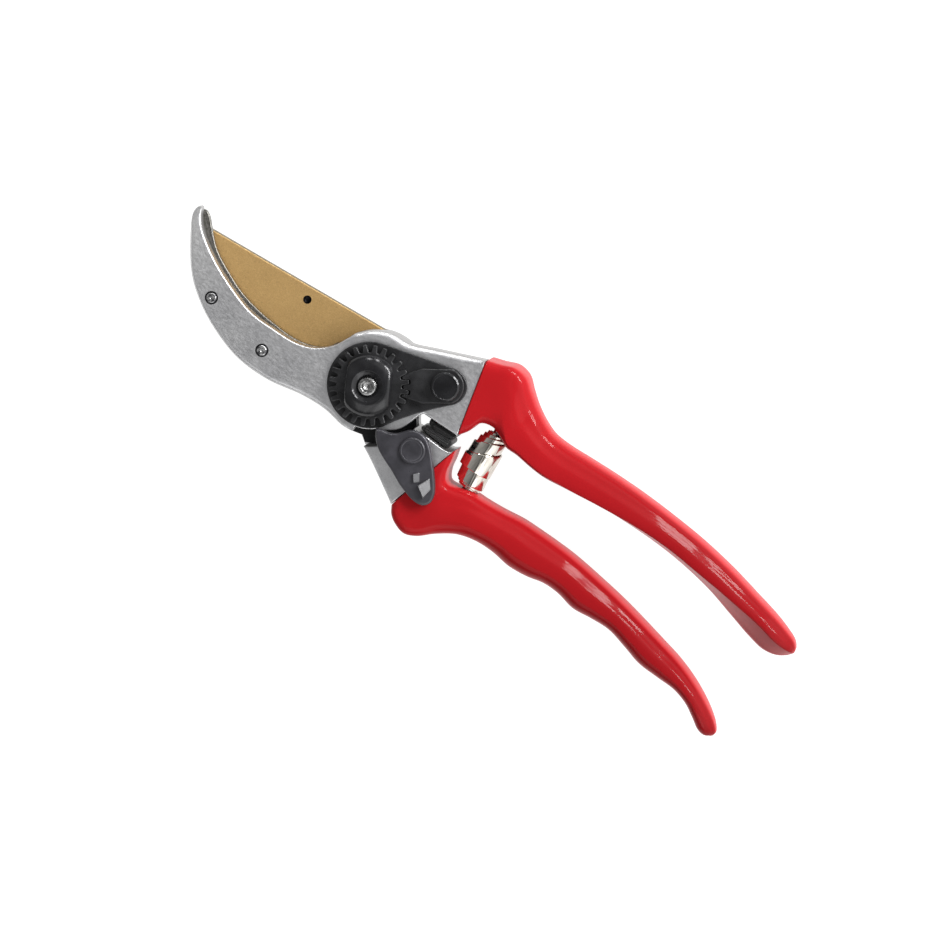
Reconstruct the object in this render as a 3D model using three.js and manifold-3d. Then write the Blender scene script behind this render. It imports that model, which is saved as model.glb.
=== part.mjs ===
// Bypass pruning shears, closed and locked, in millimetres.
// The origin is on the pivot axis, at the outer face of the bolt head.
// +X runs to the handles, +Y to the thumb handle and the back of the blade,
// and +Z from the bolt head to the nut.
import * as THREE from 'three';
import { mergeVertices } from 'three/addons/utils/BufferGeometryUtils.js';
import Module from 'manifold-3d';

const wasm = await Module();
wasm.setup();

// ---------------------------------------------------------------- driving dimensions

const GAP = 0.3; // between two pieces that bear on each other
const FIT = 0.3; // between a hole and what runs through it
const finestEdge = 0.01; // slivers smaller than this are closed up

// The pieces on the pivot are stacked from the bolt head to the nut.
const boltHead = { bottom: 0, top: 2.3 };
const bladeBoss = above(boltHead, 5.5);
const bladeLayer = above(bladeBoss, 2.8);
const counterLayer = above(bladeLayer, 1.6);
const hookLayer = above(counterLayer, 4.7);
const plateLayer = above(hookLayer, 0.9);
const toothLayer = above(plateLayer, 1.4);
const nutLayer = above(toothLayer, 3.0);
const leverLayer = above(plateLayer, 2.3);

const handleMid = 9.4; // height of the middle of both handles
const gripSkin = 1.3; // vinyl over the cast core
const coreEnd = 0.8; // how far along the grip's ribs the core runs
const coreBottom = 1.0; // underside of the bare metal beside the grips

const boltHeadRadius = 8;
const shankRadius = 5;
const threadRadius = 2.65;
const bushRadius = 6.4;
const bossRadius = 14.5;
const heelRadius = 15.4; // blade heel and the boss under it
const heelReach = 17.5; // the heel where it meets the blade handle's block
const shoulderRadius = 18.3; // full-depth metal starts outside this circle
const lockPlateRadius = 12.6;
const notchRadius = 12.9; // bottom of the catch's notch in the boss
const toothCount = 24;
const toothPitchRadius = 11.2;
const toothHeight = 0.55; // crest or valley from the pitch circle
const nutRadius = 8.9;
const nutFlats = 13.6; // across the two flats
const nutTurn = degrees(33.7); // direction that the flats face
const segmentScrew = point(17.4, 14.2);
const segmentHeadRadius = 4.3;
const catchPin = point(21.7, -6.2);
const bladeScrewAt = point(10.2, -8.6);
const rivetPlaces = { front: point(-51.7, -10.2), rear: point(-30.7, -12.6) };
const locatingHole = point(-30.3, 6.3);

const springTop = point(37.0, 11.7); // where the spring meets the thumb handle
const springFoot = point(40.35, -6.8); // and the finger handle
const springTurns = 6;
const springEndRadius = 2.5;
const springMiddleRadius = 5.1;
const stripWidth = 2.9;
const stripThickness = 0.55;
const studRadius = 1.4;

// ---------------------------------------------------------------- small helpers

function degrees(angle) {
  return (angle * Math.PI) / 180;
}

function point(x, y) {
  return new THREE.Vector2(x, y);
}

function above(layer, thickness) {
  const bottom = layer.top + GAP;
  return { bottom, top: bottom + thickness };
}

function polar(centre, radius, angle) {
  return point(centre.x + radius * Math.cos(angle), centre.y + radius * Math.sin(angle));
}

// A smooth run through hand-set points, with a vertex about every `step` mm.
function run(pairs, step = 3) {
  const knots = pairs.map(([x, y]) => new THREE.Vector3(x, y, 0));
  const curve = new THREE.CatmullRomCurve3(knots, false, 'centripetal');
  const spans = Math.max(1, Math.round(curve.getLength() / step));
  return curve.getSpacedPoints(spans).map((p) => point(p.x, p.y));
}

function straight(pairs) {
  return pairs.map(([x, y]) => point(x, y));
}

function arc(centre, radius, from, to, spans = 8) {
  const points = [];
  for (let i = 0; i <= spans; i += 1) {
    points.push(polar(centre, radius, from + ((to - from) * i) / spans));
  }
  return points;
}

function circle(centre, radius, spans = 24) {
  return arc(centre, radius, 0, 2 * Math.PI, spans).slice(0, -1);
}

// Runs joined into one closed outline, without doubled points, counter-clockwise.
function outline(...runs) {
  const points = [];
  for (const next of runs.flat()) {
    const last = points[points.length - 1];
    if (!last || last.distanceTo(next) > 0.05) {
      points.push(next);
    }
  }
  if (points[0].distanceTo(points[points.length - 1]) <= 0.05) {
    points.pop();
  }
  return THREE.ShapeUtils.isClockWise(points) ? points.reverse() : points;
}

// A plate of one outline, with small chamfers on both faces.
function plate(points, layer, chamfer = 0) {
  const geometry = new THREE.ExtrudeGeometry(new THREE.Shape(points), {
    depth: layer.top - layer.bottom - 2 * chamfer,
    bevelEnabled: chamfer > 0,
    bevelThickness: chamfer,
    bevelSize: chamfer,
    bevelOffset: -chamfer,
    bevelSegments: 1,
  });
  geometry.translate(0, 0, layer.bottom + chamfer);
  return solid(geometry);
}

// A solid through outlines of equal length, each at its own height, lowest first.
function stack(levels) {
  const size = levels[0].points.length;
  const positions = [];
  for (const { points, z } of levels) {
    points.forEach((p) => positions.push(p.x, p.y, z));
  }
  const faces = [];
  for (let level = 0; level + 1 < levels.length; level += 1) {
    for (let i = 0; i < size; i += 1) {
      const a = level * size + i;
      const b = level * size + ((i + 1) % size);
      faces.push(a, b, b + size, a, b + size, a + size);
    }
  }
  const top = (levels.length - 1) * size;
  THREE.ShapeUtils.triangulateShape(levels[levels.length - 1].points, []).forEach(([a, b, c]) => {
    faces.push(top + a, top + b, top + c);
  });
  THREE.ShapeUtils.triangulateShape(levels[0].points, []).forEach(([a, b, c]) => {
    faces.push(a, c, b);
  });
  return solid(indexed(positions, faces));
}

function indexed(positions, faces) {
  const geometry = new THREE.BufferGeometry();
  geometry.setAttribute('position', new THREE.Float32BufferAttribute(positions, 3));
  geometry.setIndex(faces);
  return geometry;
}

// A turned piece on an upright axis; the profile starts and ends on the axis.
function turned(profile, centre = point(0, 0), spans = 32) {
  const geometry = new THREE.LatheGeometry(profile.map(([r, z]) => point(r, z)), spans);
  geometry.rotateX(Math.PI / 2);
  geometry.translate(centre.x, centre.y, 0);
  return solid(geometry);
}

function drum(centre, radius, layer, spans = 24) {
  const profile = [[0, layer.bottom], [radius, layer.bottom], [radius, layer.top], [0, layer.top]];
  return turned(profile, centre, spans);
}

// A straight pin between two places at the handles' middle height.
function pinBetween(from, to, radius, spans = 16) {
  const geometry = new THREE.CylinderGeometry(radius, radius, from.distanceTo(to), spans);
  geometry.rotateZ(Math.atan2(to.y - from.y, to.x - from.x) - Math.PI / 2);
  geometry.translate((from.x + to.x) / 2, (from.y + to.y) / 2, handleMid);
  return solid(geometry);
}

function solid(geometry) {
  const bare = new THREE.BufferGeometry();
  bare.setAttribute('position', geometry.getAttribute('position'));
  bare.setIndex(geometry.getIndex());
  const merged = mergeVertices(bare, 1e-4);
  const mesh = new wasm.Mesh({
    numProp: 3,
    vertProperties: new Float32Array(merged.getAttribute('position').array),
    triVerts: new Uint32Array(merged.getIndex().array),
  });
  mesh.merge();
  const body = new wasm.Manifold(mesh);
  return body.volume() < 0 ? new wasm.Manifold(flipped(mesh)) : body;
}

function flipped(mesh) {
  const triVerts = new Uint32Array(mesh.triVerts);
  for (let i = 0; i < triVerts.length; i += 3) {
    [triVerts[i + 1], triVerts[i + 2]] = [triVerts[i + 2], triVerts[i + 1]];
  }
  return new wasm.Mesh({ numProp: 3, vertProperties: mesh.vertProperties, triVerts });
}

function joined(first, ...others) {
  return others.reduce((whole, next) => whole.add(next), first);
}

function cut(first, ...tools) {
  return tools.reduce((whole, next) => whole.subtract(next), first);
}

function named(name, body, material) {
  const { vertProperties, triVerts } = body.simplify(finestEdge).getMesh();
  const geometry = indexed(Array.from(vertProperties), Array.from(triVerts));
  geometry.computeVertexNormals();
  const mesh = new THREE.Mesh(geometry, material());
  mesh.name = name;
  return mesh;
}

// ---------------------------------------------------------------- materials

function finish(color, roughness, metalness) {
  return () => new THREE.MeshStandardMaterial({ color, roughness, metalness });
}

const castAluminium = finish(0xa6a6a9, 0.4, 1);
const steel = finish(0x8b8983, 0.35, 1);
const brightSteel = finish(0xc9c9c7, 0.22, 1);
const goldCoating = finish(0xa78552, 0.38, 1);
const blackSteel = finish(0x262627, 0.42, 0.8);
const slateSteel = finish(0x3b3a40, 0.4, 0.8);
const redVinyl = finish(0xc01a22, 0.2, 0);
const rubber = finish(0x19191a, 0.7, 0);

// ---------------------------------------------------------------- handle lofts

// Each row is one rib of a grip: a point on its upper edge, the facing point on its
// lower edge, and half its depth along Z.
const thumbGripRibs = [
  [21.9, 27.2, 29.2, 4.9, 9.4],
  [25.5, 28.8, 30.4, 7.6, 9.4],
  [29.2, 30.6, 31.7, 11.7, 9.4],
  [33.4, 30.5, 35.0, 12.9, 9.4],
  [37.3, 28.1, 38.5, 11.9, 9.4],
  [41.2, 25.7, 41.8, 10.6, 9.4],
  [45.5, 23.7, 45.6, 10.9, 9.4],
  [50.0, 22.4, 50.2, 10.8, 9.4],
  [55.5, 22.5, 55.9, 10.9, 9.4],
  [62.0, 23.4, 62.5, 12.0, 9.4],
  [70.3, 24.5, 70.7, 13.4, 9.4],
  [80.6, 25.5, 80.8, 14.8, 9.4],
  [91.6, 26.0, 91.0, 15.8, 9.4],
  [103.0, 26.1, 101.5, 16.1, 9.4],
  [114.5, 25.4, 112.4, 15.4, 9.3],
  [125.0, 24.1, 122.6, 13.7, 9.0],
  [133.2, 23.0, 130.5, 12.4, 8.4],
  [138.3, 21.9, 136.0, 12.1, 7.2],
  [141.4, 20.9, 139.8, 13.3, 5.6],
  [143.1, 19.4, 142.3, 15.4, 3.4],
  [143.6, 18.0, 143.4, 17.2, 1.0],
];

const fingerGripRibs = [
  [31.2, 0.9, 26.9, -23.4, 9.4],
  [32.1, -2.4, 28.4, -25.6, 9.4],
  [33.0, -5.6, 31.2, -27.1, 9.4],
  [34.9, -8.0, 34.7, -27.7, 9.4],
  [38.0, -7.5, 38.0, -26.1, 9.4],
  [42.0, -6.0, 41.7, -22.3, 9.4],
  [47.0, -5.3, 46.6, -18.4, 9.4],
  [52.5, -4.3, 52.0, -16.4, 9.4],
  [58.5, -2.9, 58.0, -15.7, 9.4],
  [64.3, -2.2, 64.0, -15.9, 9.4],
  [70.2, -1.7, 70.0, -14.8, 9.4],
  [75.5, -1.4, 75.1, -13.1, 9.4],
  [80.5, -1.4, 80.2, -12.7, 9.4],
  [86.5, -1.6, 86.1, -13.3, 9.4],
  [92.5, -1.9, 92.2, -12.1, 9.3],
  [98.8, -2.4, 98.1, -11.3, 9.2],
  [106.0, -3.2, 104.7, -12.2, 9.1],
  [112.5, -4.0, 111.0, -13.3, 8.9],
  [119.2, -4.9, 117.5, -13.0, 8.5],
  [125.5, -6.4, 123.7, -12.6, 8.0],
  [131.0, -8.3, 128.8, -13.6, 7.3],
  [135.8, -10.5, 133.0, -15.6, 6.4],
  [139.2, -12.6, 136.2, -17.3, 5.0],
  [141.0, -14.5, 138.6, -17.6, 3.0],
  [141.0, -15.9, 140.3, -16.7, 1.0],
];

// A body through ribs of rounded-rectangle section, thinner than the ribs by `inset`.
// A `margin` draws both ends out, so that a pocket cut with it is open and clears its core.
function ribLoft(ribs, { inset = 0, to = 1, margin = 0, spans, sides, squareness = 2.8 }) {
  const upper = new THREE.CatmullRomCurve3(ribs.map((r) => new THREE.Vector3(r[0], r[1], r[4])));
  const lower = new THREE.CatmullRomCurve3(ribs.map((r) => new THREE.Vector3(r[2], r[3], r[4])));
  const rings = [];
  for (let i = 0; i <= spans; i += 1) {
    const along = (to * i) / spans;
    rings.push(ring(upper.getPoint(along), lower.getPoint(along), inset, sides, squareness));
  }
  if (margin > 0) {
    rings.unshift(rings[0].map((p) => p.clone().add(new THREE.Vector3(-margin, 0, 0))));
    rings.push(rings[rings.length - 1].map((p) => p.clone().add(new THREE.Vector3(margin, 0, 0))));
  }
  const faces = [];
  for (let i = 0; i + 1 < rings.length; i += 1) {
    for (let j = 0; j < sides; j += 1) {
      const a = i * sides + j;
      const b = i * sides + ((j + 1) % sides);
      faces.push(a, a + sides, b + sides, a, b + sides, b);
    }
  }
  const end = (rings.length - 1) * sides;
  for (let j = 1; j + 1 < sides; j += 1) {
    faces.push(0, j, j + 1);
    faces.push(end, end + j + 1, end + j);
  }
  return solid(indexed(rings.flat().flatMap((p) => p.toArray()), faces));
}

function ring(high, low, inset, sides, squareness) {
  const middle = high.clone().add(low).multiplyScalar(0.5);
  const half = high.clone().sub(low).multiplyScalar(0.5).setZ(0);
  const across = half.clone().normalize();
  const reach = half.length() - inset;
  const depth = high.z - inset;
  const points = [];
  for (let j = 0; j < sides; j += 1) {
    const turn = (2 * Math.PI * j) / sides;
    const side = rounded(Math.sin(turn), squareness) * reach;
    const rise = rounded(Math.cos(turn), squareness) * depth;
    points.push(middle.clone().addScaledVector(across, side).setZ(handleMid + rise));
  }
  return points;
}

function rounded(value, squareness) {
  return Math.sign(value) * Math.abs(value) ** (2 / squareness);
}

function core(ribs) {
  return ribLoft(ribs, { inset: gripSkin + GAP, to: coreEnd, spans: 16, sides: 12 });
}

function corePocket(ribs) {
  return ribLoft(ribs, { inset: gripSkin, to: coreEnd, margin: 0.5, spans: 16, sides: 12 });
}

// ---------------------------------------------------------------- anvil side

// The lead is the slanted end of each grip, where the bare metal comes out of it.
const thumbLead = { high: point(21.5, 27.0), low: point(28.8, 4.7) };
const fingerLead = { high: point(30.8, 0.5), low: point(26.5, -23.0) };

const hookOuter = [
  [-70.9, 8.5], [-71.85, 6.8], [-71.3, 4.7], [-66.9, -1.7], [-60.5, -8.8], [-53.8, -13.3],
  [-45.7, -16.7], [-35.1, -19.0], [-24.4, -18.3], [-13.7, -15.3], [-6.3, -14.2], [-1.5, -14.4],
];
const hookInner = [
  [-12.9, 8.6], [-13.8, 5.9], [-15.6, 1.8], [-19.2, -2.1], [-24.3, -4.5], [-31.7, -5.6],
  [-39.5, -6.1], [-47.6, -4.6], [-58.0, -1.1], [-66.4, 3.5], [-70.2, 7.6],
];
const bossCrown = [[-12.9, 8.6], [-10.4, 11.8], [-8.1, 13.6], [-5.7, 15.0], [-3.2, 15.8]];
const neckCrown = [[-3.2, 15.8], [-0.9, 16.1], [1.4, 16.5], [8.8, 20.3], [21.5, 27.0]];
const neckFoot = [
  [28.8, 4.7], [22.7, 4.0], [17.2, 3.5], [16.4, 1.9], [15.9, -0.8], [15.0, -3.8], [13.8, -5.6],
  [12.4, -6.8], [10.5, -8.2],
];

function anvilHandle() {
  const hook = plate(outline(run(hookOuter, 3.4), run(hookInner, 3.4)), hookLayer, 0.5);
  const neckOutline = outline(
    run(neckCrown, 4),
    [thumbLead.low],
    run(neckFoot),
    arc(point(0, 0), notchRadius, degrees(-42), degrees(-70), 4),
    arc(point(0, 0), bossRadius, degrees(-73), degrees(-208), 14),
    run(bossCrown, 2),
  );
  const boss = plate(neckOutline, { bottom: counterLayer.bottom, top: hookLayer.top }, 0.5);
  const deepOutline = outline(straight([[3, 15], [4.9, 18.1], [8.8, 20.2], [21.3, 26.8]]), [
    thumbLead.low.clone().add(point(-0.2, 0.1)),
    point(17.5, 3.7),
  ]);
  const deep = cut(
    plate(deepOutline, { bottom: coreBottom, top: counterLayer.bottom + 2 }, 0.5),
    drum(point(0, 0), shoulderRadius, { bottom: 0, top: counterLayer.bottom + 0.2 }, 48),
  );
  const body = joined(hook, boss, deep, core(thumbGripRibs), coreRoot(thumbLead));
  return cut(
    body,
    drum(point(0, 0), shankRadius + FIT, { bottom: 0, top: 30 }),
    drum(segmentScrew, 2 + FIT, { bottom: 12.9, top: 30 }, 16),
    ...Object.values(rivetPlaces).map((place) => drum(place, 1.2 + FIT, { bottom: 0, top: 30 }, 16)),
  );
}

// The stub that carries the core out of the grip's open end into the bare metal.
function coreRoot(lead) {
  const corners = [[0.22, -2.5], [0.22, 0.9], [0.78, 0.9], [0.78, -2.5]];
  const points = corners.map(([along, shift]) => {
    return lead.high.clone().lerp(lead.low, along).add(point(shift, 0));
  });
  return plate(outline(points), { bottom: handleMid - 5, top: handleMid + 5 });
}

const counterEdge = [
  [-69.4, 7.8], [-68.3, 7.5], [-67.0, 6.7], [-65.2, 5.1], [-59.7, 0.9], [-53.2, -1.9], [-47.0, -3.9],
  [-40.5, -4.9], [-33.2, -5.1], [-26.0, -4.6], [-20.7, -2.9], [-17.2, -0.4], [-15.3, 3.0],
];
const counterBack = [
  [-15.6, -5.5], [-20.0, -12.5], [-30.7, -15.8], [-41.0, -15.3], [-51.7, -12.7], [-60.0, -6.7],
  [-66.5, 0.3], [-70.6, 6.3], [-70.4, 7.4],
];

function anvilBlade() {
  const strip = plate(outline(run(counterEdge, 3.2), run(counterBack, 3.4)), counterLayer, 0.2);
  const through = { bottom: 0, top: 30 };
  const holes = Object.values(rivetPlaces).map((place) => drum(place, 1.2 + FIT, through, 16));
  return cut(strip, ...holes);
}

function rivet(place) {
  const foot = counterLayer.bottom + 0.2;
  const seat = hookLayer.top + 0.1;
  const profile = [[0, foot], [1.2, foot], [1.2, seat], [1.95, seat], [1.85, seat + 0.3], [0, seat + 0.5]];
  return turned(profile, place, 20);
}

function pivotBolt() {
  const thread = plateLayer.bottom;
  const end = nutLayer.top + 0.7;
  return turned([
    [0, boltHead.bottom], [boltHeadRadius - 0.6, boltHead.bottom], [boltHeadRadius, 0.6],
    [boltHeadRadius, boltHead.top], [shankRadius, boltHead.top], [shankRadius, thread],
    [threadRadius, thread], [threadRadius, end - 0.3], [threadRadius - 0.3, end],
    [0.9, end], [0, end - 0.5],
  ]);
}

function pivotNut() {
  const { bottom, top } = nutLayer;
  const round = turned([
    [0, bottom], [nutRadius, bottom], [nutRadius, top - 1.1], [nutRadius - 1.0, top], [0, top],
  ], point(0, 0), 48);
  const across = new THREE.BoxGeometry(nutFlats, 4 * nutRadius, 8 * nutRadius);
  across.rotateZ(nutTurn);
  const bore = drum(point(0, 0), threadRadius + FIT, { bottom: 0, top: 30 });
  return cut(round.intersect(solid(across)), bore);
}

// The pitch line of the teeth, `shift` mm outward, between two directions.
function teeth(shift, from, to, spans) {
  const points = [];
  for (let i = 0; i <= spans; i += 1) {
    const turn = from + ((to - from) * i) / spans;
    const radius = toothPitchRadius + shift + toothHeight * Math.cos(toothCount * turn);
    points.push(polar(point(0, 0), radius, turn));
  }
  return points;
}

function nutCollar() {
  const rim = outline(teeth(0, 0, 2 * Math.PI, toothCount * 6));
  return cut(plate(rim, toothLayer), drum(point(0, 0), threadRadius + FIT, { bottom: 0, top: 30 }));
}

function toothedSegment() {
  const axis = Math.atan2(segmentScrew.y, segmentScrew.x);
  const spread = degrees(18);
  const shoulder = 16.5;
  const points = outline(
    teeth(0.5, axis + spread, axis - spread, 18),
    [polar(point(0, 0), shoulder, axis - spread)],
    arc(segmentScrew, 5.2, axis - degrees(80), axis + degrees(80), 12),
    [polar(point(0, 0), shoulder, axis + spread)],
  );
  return cut(plate(points, toothLayer), drum(segmentScrew, 2 + FIT, { bottom: 0, top: 30 }, 16));
}

function segmentScrewBody() {
  const seat = nutLayer.bottom;
  const top = seat + 2.2;
  return turned([
    [0, 13.2], [2, 13.2], [2, seat], [segmentHeadRadius, seat], [segmentHeadRadius, top - 0.5],
    [segmentHeadRadius - 0.5, top], [0, top],
  ], segmentScrew, 32);
}

function lockPlate() {
  const far = point(17.8, 14.3);
  const farRadius = 5.5;
  const tangent = far.angle() + Math.acos((lockPlateRadius - farRadius) / far.length());
  const skirt = run([[10.5, -7.0], [11.9, -4.0], [15.4, 1.9], [18.9, 6.8], [21.6, 10.3]]);
  const points = outline(
    arc(point(0, 0), lockPlateRadius, tangent, degrees(326), 30),
    skirt,
    arc(far, farRadius, degrees(-42), tangent, 10),
  );
  return cut(
    plate(points, plateLayer),
    drum(point(0, 0), threadRadius + FIT, { bottom: 0, top: 30 }),
    drum(segmentScrew, 2 + FIT, { bottom: 0, top: 30 }, 16),
  );
}

function anvilBumper() {
  const corners = [[19.6, 3.4], [19.9, 2.2], [21.4, 1.5], [28.6, 2.9], [28.8, 4.2], [22.8, 3.6]];
  const points = outline(straight(corners));
  return plate(points, { bottom: 4, top: 16.5 }, 0.25);
}

function anvilGrip() {
  const skin = ribLoft(thumbGripRibs, { spans: 30, sides: 16 });
  return cut(skin, corePocket(thumbGripRibs), springSeat(springTop, springFoot));
}

// A round seat for the spring's end, with a hole for its stud.
function springSeat(seat, other) {
  const inward = seat.clone().sub(other).normalize();
  const floor = seat.clone();
  const mouth = seat.clone().addScaledVector(inward, -7);
  const deep = seat.clone().addScaledVector(inward, 3);
  return joined(
    pinBetween(floor, mouth, springEndRadius + 0.9, 24),
    pinBetween(deep, mouth, studRadius + FIT, 16),
  );
}

function springStud(seat, other) {
  const inward = seat.clone().sub(other).normalize();
  const foot = seat.clone().addScaledVector(inward, 0.7);
  const tip = seat.clone().addScaledVector(inward, -2.4);
  return pinBetween(foot, tip, studRadius);
}

// ---------------------------------------------------------------- blade side

const blockLeft = [[9.1, -15.3], [10.3, -15.4], [14.1, -17.0], [26.5, -23.0]];
const blockRight = [[30.8, 0.5], [29.6, -0.5], [27.6, -0.9], [24.8, -1.0], [21.6, -1.2], [17.9, -1.6]];

function bladeHandle() {
  const boss = drum(point(0, 0), heelRadius, bladeBoss, 48);
  const neckOutline = outline(straight([
    [0, -15.1], [5.6, -14.3], [9.3, -16.1], [14.1, -17.1], [24, -21.6], [24, -2.1],
    [18.4, -1.9], [12, 7], [0, 4],
  ]));
  const neck = plate(neckOutline, bladeBoss);
  const block = cut(
    plate(outline(run(blockLeft), run(blockRight)), { bottom: coreBottom, top: hookLayer.top }, 0.5),
    drum(point(0, 0), shoulderRadius - 0.4, { bottom: 0, top: 30 }, 48),
  );
  const body = joined(boss, neck, block, core(fingerGripRibs), coreRoot(fingerLead));
  return cut(
    body,
    drum(point(0, 0), bushRadius + FIT, { bottom: 0, top: 30 }),
    drum(bladeScrewAt, 2.6 + FIT, { bottom: 0, top: bladeBoss.bottom + 1.9 }, 20),
    drum(bladeScrewAt, 1.6 + FIT, { bottom: 0, top: 30 }, 16),
    drum(catchPin, 1.9 + FIT, { bottom: 9.7, top: 30 }, 16),
  );
}

function pivotBush() {
  const layer = { bottom: bladeBoss.bottom, top: bladeLayer.top };
  return cut(
    drum(point(0, 0), bushRadius, layer, 32),
    drum(point(0, 0), shankRadius + FIT, { bottom: 0, top: 30 }, 32),
  );
}

const bladeBack = [[-5.6, 14.4], [-66.0, 4.1]];
const bladeEdge = [
  [-67.2, 2.9], [-60.0, -1.9], [-53.0, -4.9], [-45.0, -7.2], [-37.0, -8.2], [-29.0, -8.4],
  [-21.0, -9.2], [-13.6, -12.0], [-8.0, -13.2],
];

function cuttingBlade() {
  const edge = run(bladeEdge, 3.4);
  const ground = edge.map((p, i) => {
    const fade = Math.min(1, (edge.length - 1 - i) / 5);
    return p.clone().add(point(0.5, 2.6).multiplyScalar(i === 0 ? 0.2 : fade));
  });
  const heel = [
    ...arc(point(0, 0), heelRadius, degrees(-120), degrees(-66), 6),
    ...arc(point(0, 0), heelReach, degrees(-60), degrees(-5), 8),
    ...arc(point(0, 0), heelRadius, degrees(3), degrees(104), 10),
  ];
  const back = straight(bladeBack);
  const whole = [...edge, ...heel, ...back];
  const hollow = [...ground, ...heel, ...back];
  const body = stack([
    { points: hollow, z: bladeLayer.bottom },
    { points: whole, z: bladeLayer.top - 0.7 },
    { points: whole, z: bladeLayer.top },
  ]);
  return cut(
    body,
    drum(point(0, 0), bushRadius + FIT, { bottom: 0, top: 30 }, 32),
    drum(bladeScrewAt, 1.6 + FIT, { bottom: 0, top: 30 }, 16),
    drum(locatingHole, 1.2, { bottom: bladeLayer.top - 1.4, top: 30 }, 20),
  );
}

function bladeScrew() {
  const face = bladeBoss.bottom + 0.2;
  return turned([
    [0, face], [2.6, face], [2.6, face + 1.4], [1.6, face + 1.4], [1.6, bladeLayer.top - 0.3],
    [0, bladeLayer.top - 0.3],
  ], bladeScrewAt, 20);
}

function bladeBumper() {
  const points = outline(run([
    [18.9, -0.2], [20.0, 0.7], [22.4, 1.3], [28.2, 2.4], [29.2, 1.5], [28.7, -0.1], [25.5, -0.6],
    [21.4, -0.8],
    [19.3, -0.8], [18.9, -0.2],
  ], 1.5));
  return plate(points, { bottom: 4, top: 16 }, 0.25);
}

function bladeGrip() {
  const skin = ribLoft(fingerGripRibs, { spans: 38, sides: 16 });
  return cut(skin, corePocket(fingerGripRibs), springSeat(springFoot, springTop));
}

function catchWasher() {
  return cut(drum(catchPin, 4.2, plateLayer), drum(catchPin, 1.9 + FIT, { bottom: 0, top: 30 }, 16));
}

function catchRivet() {
  const seat = leverLayer.top + GAP;
  return turned([
    [0, 10], [1.9, 10], [1.9, seat], [3.8, seat], [3.8, seat + 0.4], [3.3, seat + 0.7], [0, seat + 0.8],
  ], catchPin, 28);
}

// ---------------------------------------------------------------- catch

const leverOutline = [
  [9.4, -8.2], [11.1, -10.4], [13.4, -12.2], [16.4, -13.5], [20.4, -14.7], [25.7, -16.6], [31.5, -17.5],
  [34.0, -16.8], [35.2, -14.9], [34.8, -12.6], [33.2, -10.2], [27.8, -4.7], [25.1, -2.4], [23.0, -1.2],
  [20.8, -0.8], [18.9, -1.2], [17.2, -2.4], [14.9, -5.5], [13.0, -6.8], [10.9, -7.4], [9.4, -8.2],
];

function catchLever() {
  const arm = plate(outline(run(leverOutline, 1.9)), leverLayer, 0.3);
  const tab = tabOutline(3.6, 2.1);
  const crest = tabOutline(2.6, 1.0);
  const ridge = stack([
    { points: tab, z: leverLayer.top - 0.2 },
    { points: crest, z: leverLayer.top + 1.9 },
  ]);
  return cut(joined(arm, ridge), drum(catchPin, 1.9 + FIT, { bottom: 0, top: 30 }, 16));
}

function tabOutline(length, width) {
  const middle = point(31.3, -13.1);
  const slope = degrees(-28);
  return circle(point(0, 0), 1, 16).map((p) => {
    return point(p.x * length, p.y * width).rotateAround(point(0, 0), slope).add(middle);
  });
}

// ---------------------------------------------------------------- spring

// A double volute: one flat strip wound out to the middle and in again.
function voluteSpring() {
  const length = springTop.distanceTo(springFoot) - 2 * GAP;
  const stepsPerTurn = 14;
  const steps = springTurns * stepsPerTurn;
  const travel = length - stripWidth;
  const positions = [];
  for (let i = 0; i <= steps; i += 1) {
    const along = i / steps;
    const radius = THREE.MathUtils.lerp(springMiddleRadius, springEndRadius, Math.abs(2 * along - 1));
    const turn = 2 * Math.PI * springTurns * along;
    const middle = (along - 0.5) * travel;
    for (const [side, rise] of [[-1, -1], [0, -1], [0, 1], [-1, 1]]) {
      const reach = radius + side * stripThickness;
      const height = middle + (rise * stripWidth) / 2;
      positions.push(reach * Math.cos(turn), reach * Math.sin(turn), height);
    }
  }
  const faces = [];
  for (let i = 0; i < steps; i += 1) {
    for (let j = 0; j < 4; j += 1) {
      const a = 4 * i + j;
      const b = 4 * i + ((j + 1) % 4);
      faces.push(a, b, b + 4, a, b + 4, a + 4);
    }
  }
  const end = 4 * steps;
  faces.push(0, 2, 1, 0, 3, 2, end, end + 1, end + 2, end, end + 2, end + 3);
  const geometry = indexed(positions, faces);
  geometry.rotateX(-Math.PI / 2);
  geometry.rotateZ(Math.atan2(springTop.y - springFoot.y, springTop.x - springFoot.x) - Math.PI / 2);
  const middle = springTop.clone().lerp(springFoot, 0.5);
  geometry.translate(middle.x, middle.y, handleMid);
  return solid(geometry);
}

// ---------------------------------------------------------------- assembly

const anvilSide = new THREE.Group();
anvilSide.add(
  named('anvil_handle', anvilHandle(), castAluminium),
  named('anvil_blade', anvilBlade(), steel),
  named('anvil_rivet_front', rivet(rivetPlaces.front), castAluminium),
  named('anvil_rivet_rear', rivet(rivetPlaces.rear), castAluminium),
  named('anvil_grip', anvilGrip(), redVinyl),
  named('pivot_bolt', pivotBolt(), brightSteel),
  named('lock_plate', lockPlate(), blackSteel),
  named('nut_collar', nutCollar(), blackSteel),
  named('pivot_nut', pivotNut(), blackSteel),
  named('toothed_segment', toothedSegment(), blackSteel),
  named('segment_screw', segmentScrewBody(), blackSteel),
  named('anvil_bumper', anvilBumper(), rubber),
  named('spring_stud_upper', springStud(springTop, springFoot), castAluminium),
  named('volute_spring', voluteSpring(), brightSteel),
);

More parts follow.
